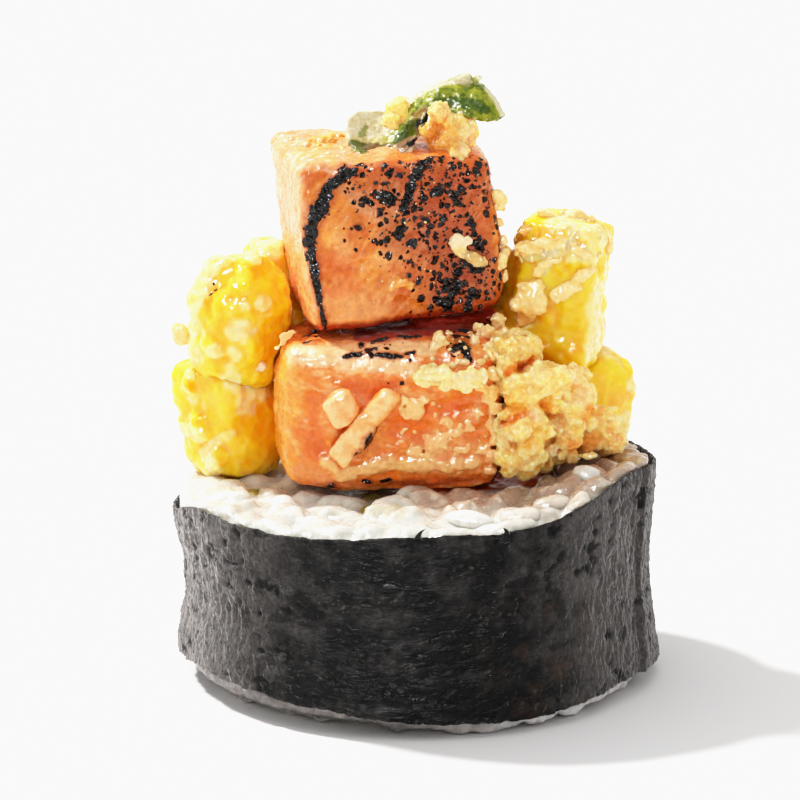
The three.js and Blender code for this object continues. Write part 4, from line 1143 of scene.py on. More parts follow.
# ---- mango ------------------------------------------------------------------------------------------------
MANGO_SAUCE = {
    "mango_left_upper": [(243, 330, 15), (262, 304, 9), (234, 352, 8), [(200, 285, 14), (206, 268, 14), (222, 258, 12)], [(192, 300, 12), (188, 340, 14), (196, 356, 8)], (230, 376, 11), [(240, 250, 9), (256, 258, 8)], (215, 350, 9), (245, 306, 6)],
    "mango_left_lower": [[(208, 452, 9), (214, 470, 9)], [(212, 445, 5), (232, 432, 5)], (190, 375, 5), (245, 405, 12), [(184, 430, 8), (200, 436, 8)], [(235, 385, 12), (262, 392, 10)], (194, 398, 6)],
    "mango_back_left": [[(262, 250, 16), (285, 240, 12)]],
    "mango_right_lower": [(628, 425, 16), (632, 385, 10), (605, 350, 10)],
    "mango_right_upper": [[(535, 250, 12), (560, 247, 12), (590, 255, 10)], [(598, 285, 7), (592, 320, 8), (590, 355, 9)], [(600, 240, 12), (575, 228, 14)], (556, 225, 12), (545, 268, 8)],
}


MANGO_MORE = {
    "mango_right_upper": [(512, 283, 22, 40, 3.5, 5.0), (510, 312, 26, 44, 3.0, 5.0), (516, 262, 16, 22, 4.0, 4.0), (525, 240, 22, 26, 3.5, 5.0), (507, 332, 20, 22, 1.0, 4.0), (500, 300, 40, 70, 6.5, 7.0), (488, 330, 46, 30, 6.0, 7.0), (500, 270, 30, 50, 6.0, 6.0), (492, 316, 34, 22, 3.5, 6.0)],
    "mango_back_left": [(286, 296, 36, 70, 9.0, 6.0), (292, 326, 34, 50, 6.5, 6.0), (298, 345, 22, 24, 4.5, 4.0), (296, 300, 20, 50, 11.0, 5.0)],
    "mango_left_upper": [(205, 300, 26, 60, 1.0, 6.0), (222, 268, 36, 26, 1.5, 7.0), (200, 340, 22, 36, 1.0, 5.0), (255, 262, 30, 18, 1.5, 6.0)],
    "mango_left_lower": [(190, 385, 20, 30, 2.0, 5.0), (205, 425, 34, 30, 2.0, 6.0), (222, 455, 34, 34, 1.0, 6.0)],
}


def mango(name, seed):
    parts = [cad(name)]
    rng = np.random.default_rng(seed)
    for u, v, wd, ht, y, dp in MANGO_MORE.get(name, ()):
        parts.append(lump(rng, place(u, v, y, None)[0], (wd / 8.64, ht / 8.64, dp), view_frame(rng.uniform(-12, 12)), level=BALL3, cuts=5, keep=0.8))
    V, F = remesh(*join(parts), 0.27)
    E = edges_of(F)
    V = relax(V, F, 12, 0.5, E)
    N = normals(V, F)
    V = V + N * (0.60 * fbm(V / 4.2, 3, seed) + 0.12)[:, None]
    N = normals(V, F)
    U = seen(V)
    face = sm(0.0, 0.3, facing(V, N))
    fine, big = fbm(V / 0.9, 3, seed + 1), fbm(V / 3.0, 3, seed + 2)
    fibre = ridge(warp(V, 4, 1.4, seed + 3) * [1 / 1.6, 1 / 1.6, 1 / 5.0], 2, seed + 4)
    where = marks(U, MANGO_SAUCE[name]) + 0.5 * fbm(V / 1.3, 3, seed + 5)
    sauce = sm(-0.05, 0.35, where) * face
    rest = 0.7 * sm(0.15, 0.50, fbm(V / 2.8, 3, seed + 6) + 0.15 * sm(0, -0.8, N[:, 0])) * (1 - face)
    sauce = np.maximum(sauce, rest)
    soft = relax(sauce, F, 2, 0.5, E)
    V = V + N * (0.03 * fine + 0.14 * big - 0.04 * fibre + soft * (0.22 + 0.12 * fbm(V / 0.8, 2, seed + 7)))[:, None]
    # deeper orange and no cream where the mango sits in the gaps beside the fish: painted shade
    deep = marks(U, [[(500, 262, 16), (500, 300, 20), (492, 335, 20)], [(288, 285, 10), (292, 320, 12), (296, 345, 10)]]) if name in ("mango_right_upper", "mango_back_left") else np.full(len(U), -9.0)
    sauce = sauce * (1 - sm(-0.3, 0.3, deep))
    soft = soft * (1 - sm(-0.3, 0.3, deep))
    col = mix(srgb(255, 196, 8), srgb(255, 210, 40), np.clip(0.5 + 0.8 * big + 0.2 * fine, 0, 1))
    col = mix(col, srgb(255, 176, 8), 0.6 * sm(0.1, 0.55, -big + 0.3 * fine))
    col = mix(col, srgb(255, 222, 120), 0.35 * sm(0.5, 0.9, fibre))
    col = mix(col, mix(srgb(255, 214, 130), srgb(255, 232, 184), np.clip(0.5 + 0.8 * fine, 0, 1)), 0.88 * sm(0.05, 0.8, soft))
    col = mix(col, mix(srgb(255, 178, 22), srgb(255, 200, 50), np.clip(0.5 + 0.7 * fine, 0, 1)), 0.9 * sm(-0.4, 0.4, deep))
    piece(name + "_cube", V, F, M_MANGO, [name], col)
    return V, F


# ---- crumbs -----------------------------------------------------------------------------------------------


def lump(rng, centre, size, frame3=None, normal=None, level=None, cuts=5, keep=0.66):
    """An uneven, slightly faceted knob of batter, size across on its three axes."""
    B, F = level or BALL2
    P = B * (1 + 0.30 * fbm(B * 1.1 + rng.uniform(-40, 40, 3), 3, 7)[:, None])
    cut = rng.normal(size=(cuts, 3))
    cut /= np.linalg.norm(cut, axis=1)[:, None]
    for c in cut:
        d = P @ c
        P = P - np.clip(d - keep, 0, None)[:, None] * 0.85 * c
    if frame3 is None:
        n = rng.normal(size=3) if normal is None else np.asarray(normal, float)
        n = n / np.linalg.norm(n)
        t = np.cross(n, rng.normal(size=3))
        t /= np.linalg.norm(t)
        frame3 = np.stack([t, np.cross(n, t), n])
        P = P * np.asarray(size, float) / 2
    else:
        P = P * np.asarray(size, float) / 2
    return P @ frame3 + centre, F


def view_frame(angle):
    """Axes lying in the front view: along the angle, across it, and towards the viewer."""
    a = math.radians(angle)
    x = np.array([1.0, 0, 0])
    return np.stack([math.cos(a) * x + math.sin(a) * UPV, -math.sin(a) * x + math.cos(a) * UPV, -FWD])


def place(u, v, surface_y, bvh):
    """A spot of the front view, on the surface where it is hit, or else at the given depth."""
    p, n = hit(bvh, u, v) if bvh is not None else (None, None)
    if p is None:
        d = ray(u, v)
        return EYE + d * (surface_y - EYE[1]) / d[1], -FWD
    return p, n


def knobs(rng, parts, spots, bvh, depth=0.7, sink=0.30, extra=9, y=None):
    """Lumps at listed spots of the front view, each with smaller granules round it."""
    for spot in spots:
        u, v, w, h, ang = spot[:5]
        y0 = spot[5] if len(spot) > 5 else y
        only_y = len(spot) > 5
        p, n = place(u, v, y0 if y0 is not None else 0.0, None if only_y else bvh)
        w, h = w / 8.64, h / 8.64
        d = depth * min(w, h)
        fr = view_frame(ang)
        c = p + FWD * d * (sink - 0.5 + 0.5 * 0.0) if not only_y else p
        parts.append(lump(rng, c, (w * 1.08, h * 1.08, d * 1.3), fr, level=BALL3, cuts=7, keep=0.72))
        for _ in range(extra):
            t = rng.uniform(0, 2 * math.pi)
            k = rng.uniform(0.55, 0.98)
            q = c + fr[0] * math.cos(t) * w * 0.5 * k + fr[1] * math.sin(t) * h * 0.5 * k - FWD * d * 0.45 * math.sqrt(max(0, 1 - k * k))
            g = rng.uniform(0.22, 0.42) * min(w, h)
            parts.append(lump(rng, q, np.array([g * 1.2, g, g * 0.8]) * rng.uniform(0.8, 1.25, 3)))


def crumb_colour(V, depth, seed, pale=0.0):
    """Pale gold on what stands out as a painted highlight, deeper orange in the hollows as painted shade."""
    fine, big = fbm(V / 0.6, 3, seed), fbm(V / 2.6, 2, seed + 1)
    col = mix(srgb(255, 196, 96), srgb(255, 216, 146), np.clip(0.5 + 0.6 * big + 0.35 * fine + pale, 0, 1))
    col = mix(col, srgb(255, 228, 184), np.clip(0.6 * sm(0.0, -0.7, depth) + 0.25 * sm(0.2, 0.6, fine), 0, 1))
    col = mix(col, srgb(255, 178, 66), 0.65 * sm(0.10, 0.9, depth))
    return col


def heap(name, parts, seed, voxel, nodes=(), tint=(), char=(), pale=0.0, smooth=1, skin=None):
    V, F = remesh(*join(parts), voxel)
    E = edges_of(F)
    V = relax(V, F, smooth, 0.4, E)
    N = normals(V, F)
    g1 = cells(warp(V, 1.2, 0.25, seed + 11) / 1.15, seed + 12)[0]
    g2 = cells(warp(V, 0.8, 0.15, seed + 13) / 0.62, seed + 14)[0]
    V = V + N * (0.05 * fbm(V / 0.6, 2, seed + 5) + 0.10 * fbm(V / 1.5, 2, seed + 6) + 0.20 * (0.42 - g1) + 0.13 * (0.42 - g2))[:, None]
    far = relax(V, F, 22, 0.5, E)
    depth = ((far - V) * normals(V, F)).sum(1)
    depth = np.clip(depth / 0.42, -1, 1)
    col = crumb_colour(V, depth, seed + 8, pale)
    U = seen(V)
    for lines, colour, amount in tint:
        col = mix(col, colour, amount * sm(-0.2, 0.5, marks(U, lines) + 0.3 * fbm(V / 1.0, 2, seed + 9)))
    if char:
        col = mix(col, srgb(20, 15, 13), sm(-0.1, 0.2, marks(U, char) + 0.35 * fbm(V / 0.6, 2, seed + 10)))
    piece(name, V, F, skin or M_CRUMB, nodes, col)


def core_of(name, inset, voxel=0.5):
    V, F = remesh(*cad(name), voxel)
    N = normals(V, F)
    return V, N, (V - N * inset, F)


RIGHT_HEAP = [
    (536, 384, 68, 36, 14), (512, 350, 36, 26, -28), (506, 366, 22, 24, 0), (532, 344, 16, 20, 20), (518, 342, 20, 14, -20),
    (575, 374, 19, 21, -20), (583, 396, 28, 32, 0), (570, 412, 30, 34, 20), (573, 430, 24, 22, 0), (556, 424, 22, 26, 0),
    (535, 417, 20, 30, 10), (514, 411, 34, 16, 14), (520, 430, 26, 24, 0), (504, 440, 18, 24, 0), (543, 430, 24, 26, 0), (530, 447, 28, 24, 0),
    (552, 450, 10, 14, 20), (508, 459, 26, 24, 0), (528, 462, 26, 20, 10), (512, 471, 24, 12, 0), (541, 456, 16, 14, 0), (497, 424, 12, 16, 0),
    (603, 424, 36, 30, 10), (614, 441, 24, 26, 0), (592, 441, 26, 22, 0), (604, 411, 28, 14, 0), (568, 443, 24, 18, 0), (588, 456, 20, 8, 0),
]


def crumbs():
    rng = np.random.default_rng(401)
    skin = tree(*cad("crumbs_right"))
    V, N, core = core_of("crumbs_right", 0.75)
    parts = [core]
    knobs(rng, parts, RIGHT_HEAP, skin, 0.62, 0.42, 11, -8.0)
    U = seen(V)
    behind = np.where((facing(V, N) < 0.15))[0]
    for i in rng.choice(behind, 150, replace=False):
        g = rng.uniform(1.2, 3.4)
        parts.append(lump(rng, V[i] - N[i] * 0.25 * g, np.array([g, g * 0.85, g * 0.7]), None, N[i] + rng.normal(size=3) * 0.3, BALL3))
    front = np.where((facing(V, N) >= 0.15))[0]
    for i in rng.choice(front, 90, replace=False):
        g = rng.uniform(0.6, 1.5)
        parts.append(lump(rng, V[i] - N[i] * (0.5 - 0.1 * g), np.array([g, g * 0.85, g * 0.7]), None, N[i] + rng.normal(size=3) * 0.4))
    # the first two tints, deeper orange under and between the knobs, are painted shade
    heap("crumbs_right_heap", parts, 410, 0.205, ["crumbs_right"], [
        ([[(508, 372, 5), (520, 366, 6), (530, 360, 4)], [(502, 424, 4), (512, 420, 5), (526, 413, 4)]], srgb(240, 136, 34), 0.8),
        ([[(542, 407, 7), (556, 410, 6)], [(500, 404, 9), (520, 410, 7)], (526, 444, 5)], srgb(255, 172, 46), 0.6),
        ([(583, 395, 13), (535, 415, 9), (578, 380, 8), (505, 440, 9), (552, 450, 7)], srgb(255, 216, 170), 0.6),
        ([[(590, 446, 10), (572, 446, 8)], [(585, 418, 5), (590, 408, 5)]], srgb(248, 150, 46), 0.6),
    ])
    # the knob on top and the one behind the curl
    rng = np.random.default_rng(402)
    V, N, core = core_of("crumb_top", 0.25, 0.35)
    parts = [core]
    for i in rng.choice(len(V), 70, replace=False):
        g = rng.uniform(0.7, 1.9)
        parts.append(lump(rng, V[i] - N[i] * 0.34 * g, np.array([g, g * 0.9, g * 0.6]), None, N[i] + rng.normal(size=3) * 0.3))
    knobs(rng, parts, [(440, 113, 22, 22, 0, 0.2), (448, 136, 36, 34, -10, 0.6), (466, 137, 20, 26, 0, 1.0), (457, 155, 22, 20, 20, -1.6), (436, 144, 16, 20, 0, 0.0), (455, 123, 28, 22, 10, 0.9), (467, 126, 18, 20, 0, 1.2)], None, 0.75, 0.5, 8)
    # the first two tints, orange and deeper orange on the front, are painted shade; the pale tint at the right is a
    # painted highlight
    heap("crumb_top_heap", parts, 420, 0.15, ["crumb_top"], [
        ([[(440, 122, 12), (446, 140, 16), (452, 152, 12)]], srgb(244, 172, 78), 0.75),
        ([[(430, 138, 7), (436, 128, 8), (432, 148, 5)]], srgb(206, 122, 30), 0.7),
        ([[(466, 138, 8), (470, 130, 7), (464, 150, 7)], [(452, 158, 8), (458, 163, 6)]], srgb(255, 206, 156), 0.7),
        ([(440, 111, 12)], srgb(230, 190, 132), 0.7)], [[(424, 112, 4), (421, 122, 5)]], smooth=2)
    V, N, core = core_of("crumb_behind", 0.25, 0.35)
    parts = [core]
    for i in rng.choice(len(V), 34, replace=False):
        g = rng.uniform(0.9, 2.0)
        parts.append(lump(rng, V[i] - N[i] * 0.36 * g, np.array([g, g * 0.9, g * 0.6]), None, N[i] + rng.normal(size=3) * 0.3))
    knobs(rng, parts, [(397, 107, 24, 18, 12, 1.2), (391, 121, 20, 18, 0, 0.8), (400, 118, 14, 16, 0, 1.4)], None, 0.8, 0.5, 6)
    heap("crumb_behind_heap", parts, 430, 0.15, ["crumb_behind"], [([(395, 110, 20)], srgb(255, 212, 118), 0.6)], pale=0.3, smooth=2)


def stuck(trees):
    """Crumbs, flakes and blobs of sauce that cling to the fish and the mango, each laid on the surface that carries it."""
    rng = np.random.default_rng(77)
    lower, upper, m_up, m_left = trees["lower"], trees["upper"], trees["mango_right_upper"], trees["mango_left_upper"]
    # on the right-hand mango: a knob at its left, a long flake, a crust along the top
    parts = []
    knobs(rng, parts, [(529, 299, 34, 36, 0), (524, 318, 24, 16, 10), (536, 286, 18, 14, 0)], m_up, 0.6, 0.35, 12)
    knobs(rng, parts, [(566, 291, 34, 18, 26), (582, 276, 26, 14, 34), (590, 269, 10, 8, 30)], m_up, 0.5, 0.25, 5)
    knobs(rng, parts, [(552, 243, 44, 12, 4), (528, 247, 26, 16, -8), (583, 254, 30, 10, -22), (606, 252, 16, 10, 30), (545, 264, 14, 10, 0), (538, 272, 12, 12, 0), (556, 262, 12, 8, 0)], m_up, 0.55, 0.4, 6)
    knobs(rng, parts, [(547, 215, 22, 13, -22, 2.0), (541, 212, 9, 10, 0, 2.0), (572, 218, 28, 18, 0, 3.0), (589, 221, 12, 14, 40, 3.0), (600, 233, 18, 12, -30, 2.0), (526, 230, 20, 12, 0, 0.5), (610, 244, 10, 16, 0, 1.5), (558, 224, 14, 10, 0, 1.5), (519, 250, 10, 12, 0, 0.0)], None, 0.8, 0.5, 6)
    for _ in range(40):
        u, v = rng.uniform(520, 606), rng.uniform(226, 262)
        p, n = hit(m_up, u, v)
        if p is not None:
            g = rng.uniform(0.4, 1.1)
            parts.append(lump(rng, p, np.array([g, g * 0.85, g * 0.5]), None, n))
    heap("crumbs_on_mango", parts, 440, 0.16, (), [([(526, 230, 9), (556, 231, 12)], srgb(240, 170, 60), 0.6), ([(524, 318, 12)], srgb(244, 186, 84), 0.6)], pale=0.5, skin=M_BITS)
    # left-hand mango: a pale crust down its left side
    parts = []
    knobs(rng, parts, [(181, 333, 18, 22, 0, 2.0), (176, 330, 12, 14, 0, 2.0), (191, 298, 10, 14, 0, 2.5)], None, 0.8, 0.5, 6)
    knobs(rng, parts, [(262, 366, 12, 12, 30, -2.0)], None, 0.8, 0.5, 3)
    knobs(rng, parts, [(286, 336, 14, 8, 10, -8.0), (292, 332, 10, 6, -10, -8.2), (283, 342, 10, 7, 30, -8.0), (278, 348, 6, 6, 0, -8.2)], None, 0.7, 0.5, 3)
    heap("crumbs_on_left", parts, 450, 0.15, (), [([(262, 366, 10)], srgb(250, 214, 186), 0.8), ([(286, 338, 12)], srgb(240, 180, 120), 0.8)], pale=0.6, smooth=2, skin=M_BITS)
    # lower cube: chunks over its right half, and a burnt end with crumbs round it
    parts = []
    knobs(rng, parts, [(413, 408, 26, 24, -10), (404, 401, 10, 10, 0), (424, 399, 12, 9, 0), (436, 444, 24, 20, 0), (447, 421, 16, 12, -10), (428, 437, 14, 10, 0), (446, 435, 12, 8, 0),
                       (415, 452, 16, 12, 20), (429, 457, 14, 10, 0), (457, 432, 12, 10, 30), (478, 413, 12, 10, 0), (470, 428, 12, 9, 0), (492, 430, 16, 8, 10), (462, 450, 16, 10, 0), (484, 450, 14, 12, 0), (488, 398, 16, 14, 0), (480, 386, 14, 12, 0)], lower, 0.45, 0.42, 4)
    knobs(rng, parts, [(493, 355, 16, 18, 0), (494, 374, 14, 16, 0), (493, 392, 16, 16, 0), (495, 408, 14, 14, 0), (493, 424, 16, 16, 0), (495, 440, 14, 14, 0), (492, 456, 16, 16, 0), (491, 470, 14, 10, 0)], lower, 0.8, 0.3, 5)
    for _ in range(110):
        u, v = rng.uniform(396, 498), rng.uniform(394, 478)
        p, n = hit(lower, u, v)
        if p is not None:
            g = rng.uniform(0.35, 1.0)
            parts.append(lump(rng, p - n * 0.12 * g, np.array([g, g * 0.85, g * 0.6]), None, n))
    heap("granules_on_fish", parts, 460, 0.15, (), [([(450, 440, 60), (470, 460, 40)], srgb(255, 192, 134), 0.85)], pale=0.3, skin=M_BITS)
    parts = []
    knobs(rng, parts, [(440, 340, 14, 18, 10), (434, 347, 9, 12, 0), (449, 334, 9, 8, 0), (474, 343, 12, 16, 0), (482, 336, 12, 12, 0), (487, 348, 12, 12, 0), (470, 333, 8, 6, 0), (463, 362, 16, 7, 0), (488, 331, 16, 13, 0, -5.0), (499, 322, 15, 18, 0, -2.0), (503, 336, 16, 18, 0, -5.0), (496, 343, 14, 14, 0, -8.0), (478, 327, 12, 9, 0, -4.0), (480, 362, 10, 8, 0), (452, 365, 10, 6, 0)], lower, 0.7, 0.3, 5)
    # upper cube: a pair of flakes at the right, a lump low in the middle, flakes on the right edge
    knobs(rng, parts, [(456, 241, 15, 18, 0), (466, 240, 14, 10, -20), (462, 252, 16, 12, 0), (475, 258, 22, 15, -30), (483, 262, 12, 10, 0)], upper, 0.5, 0.3, 5)
    knobs(rng, parts, [(497, 197, 14, 15, 0, -1.0), (500, 206, 12, 12, 0, -1.0), (504, 200, 10, 10, 0, -0.5), (502, 260, 14, 18, 10, -1.5), (506, 252, 9, 9, 0, -1.0), (500, 222, 8, 8, 0, -0.5), (503, 240, 8, 10, 0, -0.5), (505, 276, 8, 12, 0, -1.0)], None, 0.8, 0.5, 5)
    for _ in range(24):
        p, n = hit(lower, rng.uniform(425, 496), rng.uniform(332, 366))
        if p is not None:
            g = rng.uniform(0.4, 1.0)
            parts.append(lump(rng, p, np.array([g, g * 0.85, g * 0.6]), None, n))
    heap("flakes_on_fish", parts, 470, 0.15, (), [([[(454, 238, 10), (468, 242, 9)]], srgb(250, 226, 190), 0.8), ([[(466, 254, 6), (482, 264, 7)]], srgb(196, 164, 104), 0.7), ([(432, 345, 14), (480, 342, 16), (463, 362, 10)], srgb(255, 218, 170), 0.7)], [[(466, 266, 3), (478, 272, 3)]], pale=0.5, skin=M_BITS)
    parts = []
    knobs(rng, parts, [(399, 283, 20, 13, -8), (410, 286, 10, 9, 0), (390, 288, 10, 7, 0)], upper, 0.45, 0.4, 4)
    knobs(rng, parts, [(322, 141, 34, 13, 4), (338, 137, 20, 10, -10), (306, 146, 14, 7, 0)], upper, 0.6, 0.35, 3)
    for _ in range(40):
        u, v = rng.uniform(285, 350), rng.uniform(132, 156)
        p, n = hit(upper, u, v)
        if p is not None:
            g = rng.uniform(0.4, 1.2)
            parts.append(lump(rng, p - n * 0.1, np.array([g, g * 0.85, g * 0.5]), None, n))
    for _ in range(26):
        u, v = rng.uniform(330, 440), rng.uniform(170, 322)
        p, n = hit(upper, u, v)
        if p is not None:
            g = rng.uniform(0.25, 0.55)
            parts.append(lump(rng, p, np.array([g, g * 0.85, g * 0.5]), None, n))
    heap("bits_on_upper", parts, 480, 0.13, (), [([(400, 284, 20)], srgb(240, 150, 50), 0.8), ([[(300, 150, 12), (345, 150, 12)]], srgb(255, 214, 160), 0.7), ([[(318, 142, 12), (338, 138, 10)]], srgb(255, 178, 70), 0.85)], pale=0.3, skin=M_BITS)
    # three dark specks on the left-hand mango
    parts = []
    for u, v, w, h, ang in [(214, 284, 4, 3, 40), (211, 294, 5, 1.6, 45), (216, 290, 5, 1.6, 25)]:
        p, n = place(u, v, 0.0, m_left)
        parts.append(lump(rng, p + n * 0.05, (w / 8.64, h / 8.64, 0.2), view_frame(ang)))
    V, F = join(parts)
    piece("specks", V, F, M_CRUMB, (), np.tile(srgb(24, 18, 14), (len(V), 1)))


def small_pieces():
    """The pale strip, the pale chunk and the long crumb across the front of the lower cube."""
    V, F = remesh(*cad("salmon_strip"), 0.14)
    E = edges_of(F)
    V = relax(V, F, 26, 0.5, E)
    N = normals(V, F)
    U = seen(V)
    V = V + N * (0.12 + 0.40 * fbm(V / 3.0, 2, 501) + 0.05 * fbm(V / 0.6, 2, 502) - 0.05)[:, None] + FWD * 0.30
    field = marks(U, [[(371, 445, 5), (381, 440, 7)], [(383, 434, 3), (388, 431, 4)], [(364, 457, 5), (370, 451, 5)]]) + 0.5
    n = fbm(V / 1.3, 3, 504)
    col = mix(srgb(255, 206, 150), srgb(246, 168, 96), np.clip(0.35 + 0.7 * n, 0, 1))
    col = mix(col, srgb(250, 164, 84), 0.6 * sm(-0.4, 0.5, marks(U, [[(400, 398, 8), (386, 420, 6), (370, 445, 5)]]) + 0.3 * n))
    col = mix(col, srgb(238, 132, 58), 0.6 * sm(0.65, 0.15, -N[:, 1]))
    piece("pale_strip", V, F, M_PALE, ["salmon_strip"], col, None, {"Char": np.maximum(field, -2), "Dens": 0.0})
    V, F = remesh(*cad("pale_chunk"), 0.14)
    V = relax(V, F, 26)
    N = normals(V, F)
    V = V + N * (0.12 + 0.40 * fbm(V / 3.0, 2, 511) + 0.05 * fbm(V / 0.6, 2, 512) - 0.05)[:, None] + FWD * 0.30
    n = fbm(V / 1.5, 3, 514)
    # paler towards its left, deeper orange towards its right: painted light from the left
    col = mix(srgb(255, 204, 150), srgb(244, 162, 96), np.clip(0.4 + 0.7 * n + 0.25 * (V[:, 0] + 8.6), 0, 1))
    col = mix(col, srgb(238, 132, 58), 0.6 * sm(0.65, 0.15, -N[:, 1]))
    piece("pale_lump", V, F, M_PALE, ["pale_chunk"], col, None, {"Char": -2.0, "Dens": 0.0})
    rng = np.random.default_rng(88)
    V0, N0, core = core_of("crumb_flake", 0.45, 0.3)
    parts = [core]
    skin = tree(*cad("crumb_flake"))
    knobs(rng, parts, [(424, 377, 20, 20, 0), (440, 374, 22, 18, 10), (456, 380, 22, 18, -10), (472, 377, 20, 18, 0), (483, 376, 12, 16, 0), (446, 387, 14, 10, 0), (432, 366, 12, 8, 0), (466, 390, 12, 8, 0)], skin, 0.5, 0.4, 7, -11.5)
    V, F = remesh(*join(parts), 0.15)
    V = relax(V, F, 2, 0.4)
    n = fbm(V / 1.0, 3, 520)
    col = mix(srgb(255, 210, 130), srgb(255, 232, 184), np.clip(0.5 + 0.7 * n, 0, 1))
    piece("long_crumb", V, F, M_CRUMB, ["crumb_flake"], col)


# ---- green curl ---------------------------------------------------------------------------------------------
# Across the curl: its near edge and its far edge in the front view, their depths, and how far the middle sags (-) or arches (+)
CURL = [
    ((346, 126), (347, 120), 0.8, 1.6, -0.2), ((350, 142), (354, 113), -0.6, 3.4, -1.1), ((358, 153), (366, 112), -1.4, 4.4, -1.8), ((373, 159), (380, 112), -1.7, 5.0, -2.1),
    ((392, 159), (394, 108), -1.7, 5.2, -1.9), ((406, 153), (404, 101), -1.4, 5.2, -1.2), ((413, 143), (413, 97), -0.9, 5.0, -0.6), ((420, 131), (424, 90), -0.2, 4.9, 0.0),
    ((428, 114), (436, 85), 0.6, 4.8, 0.5), ((440, 106), (448, 81), 1.2, 4.8, 0.8), ((451, 113), (460, 80), 1.0, 4.8, 1.1), ((463, 116), (472, 84), 0.6, 4.8, 1.3),
    ((477, 120), (483, 87), 0.6, 4.6, 1.3), ((490, 121), (493, 98), 1.0, 4.2, 0.9), ((503, 120), (505, 116), 2.0, 3.0, 0.1),
]


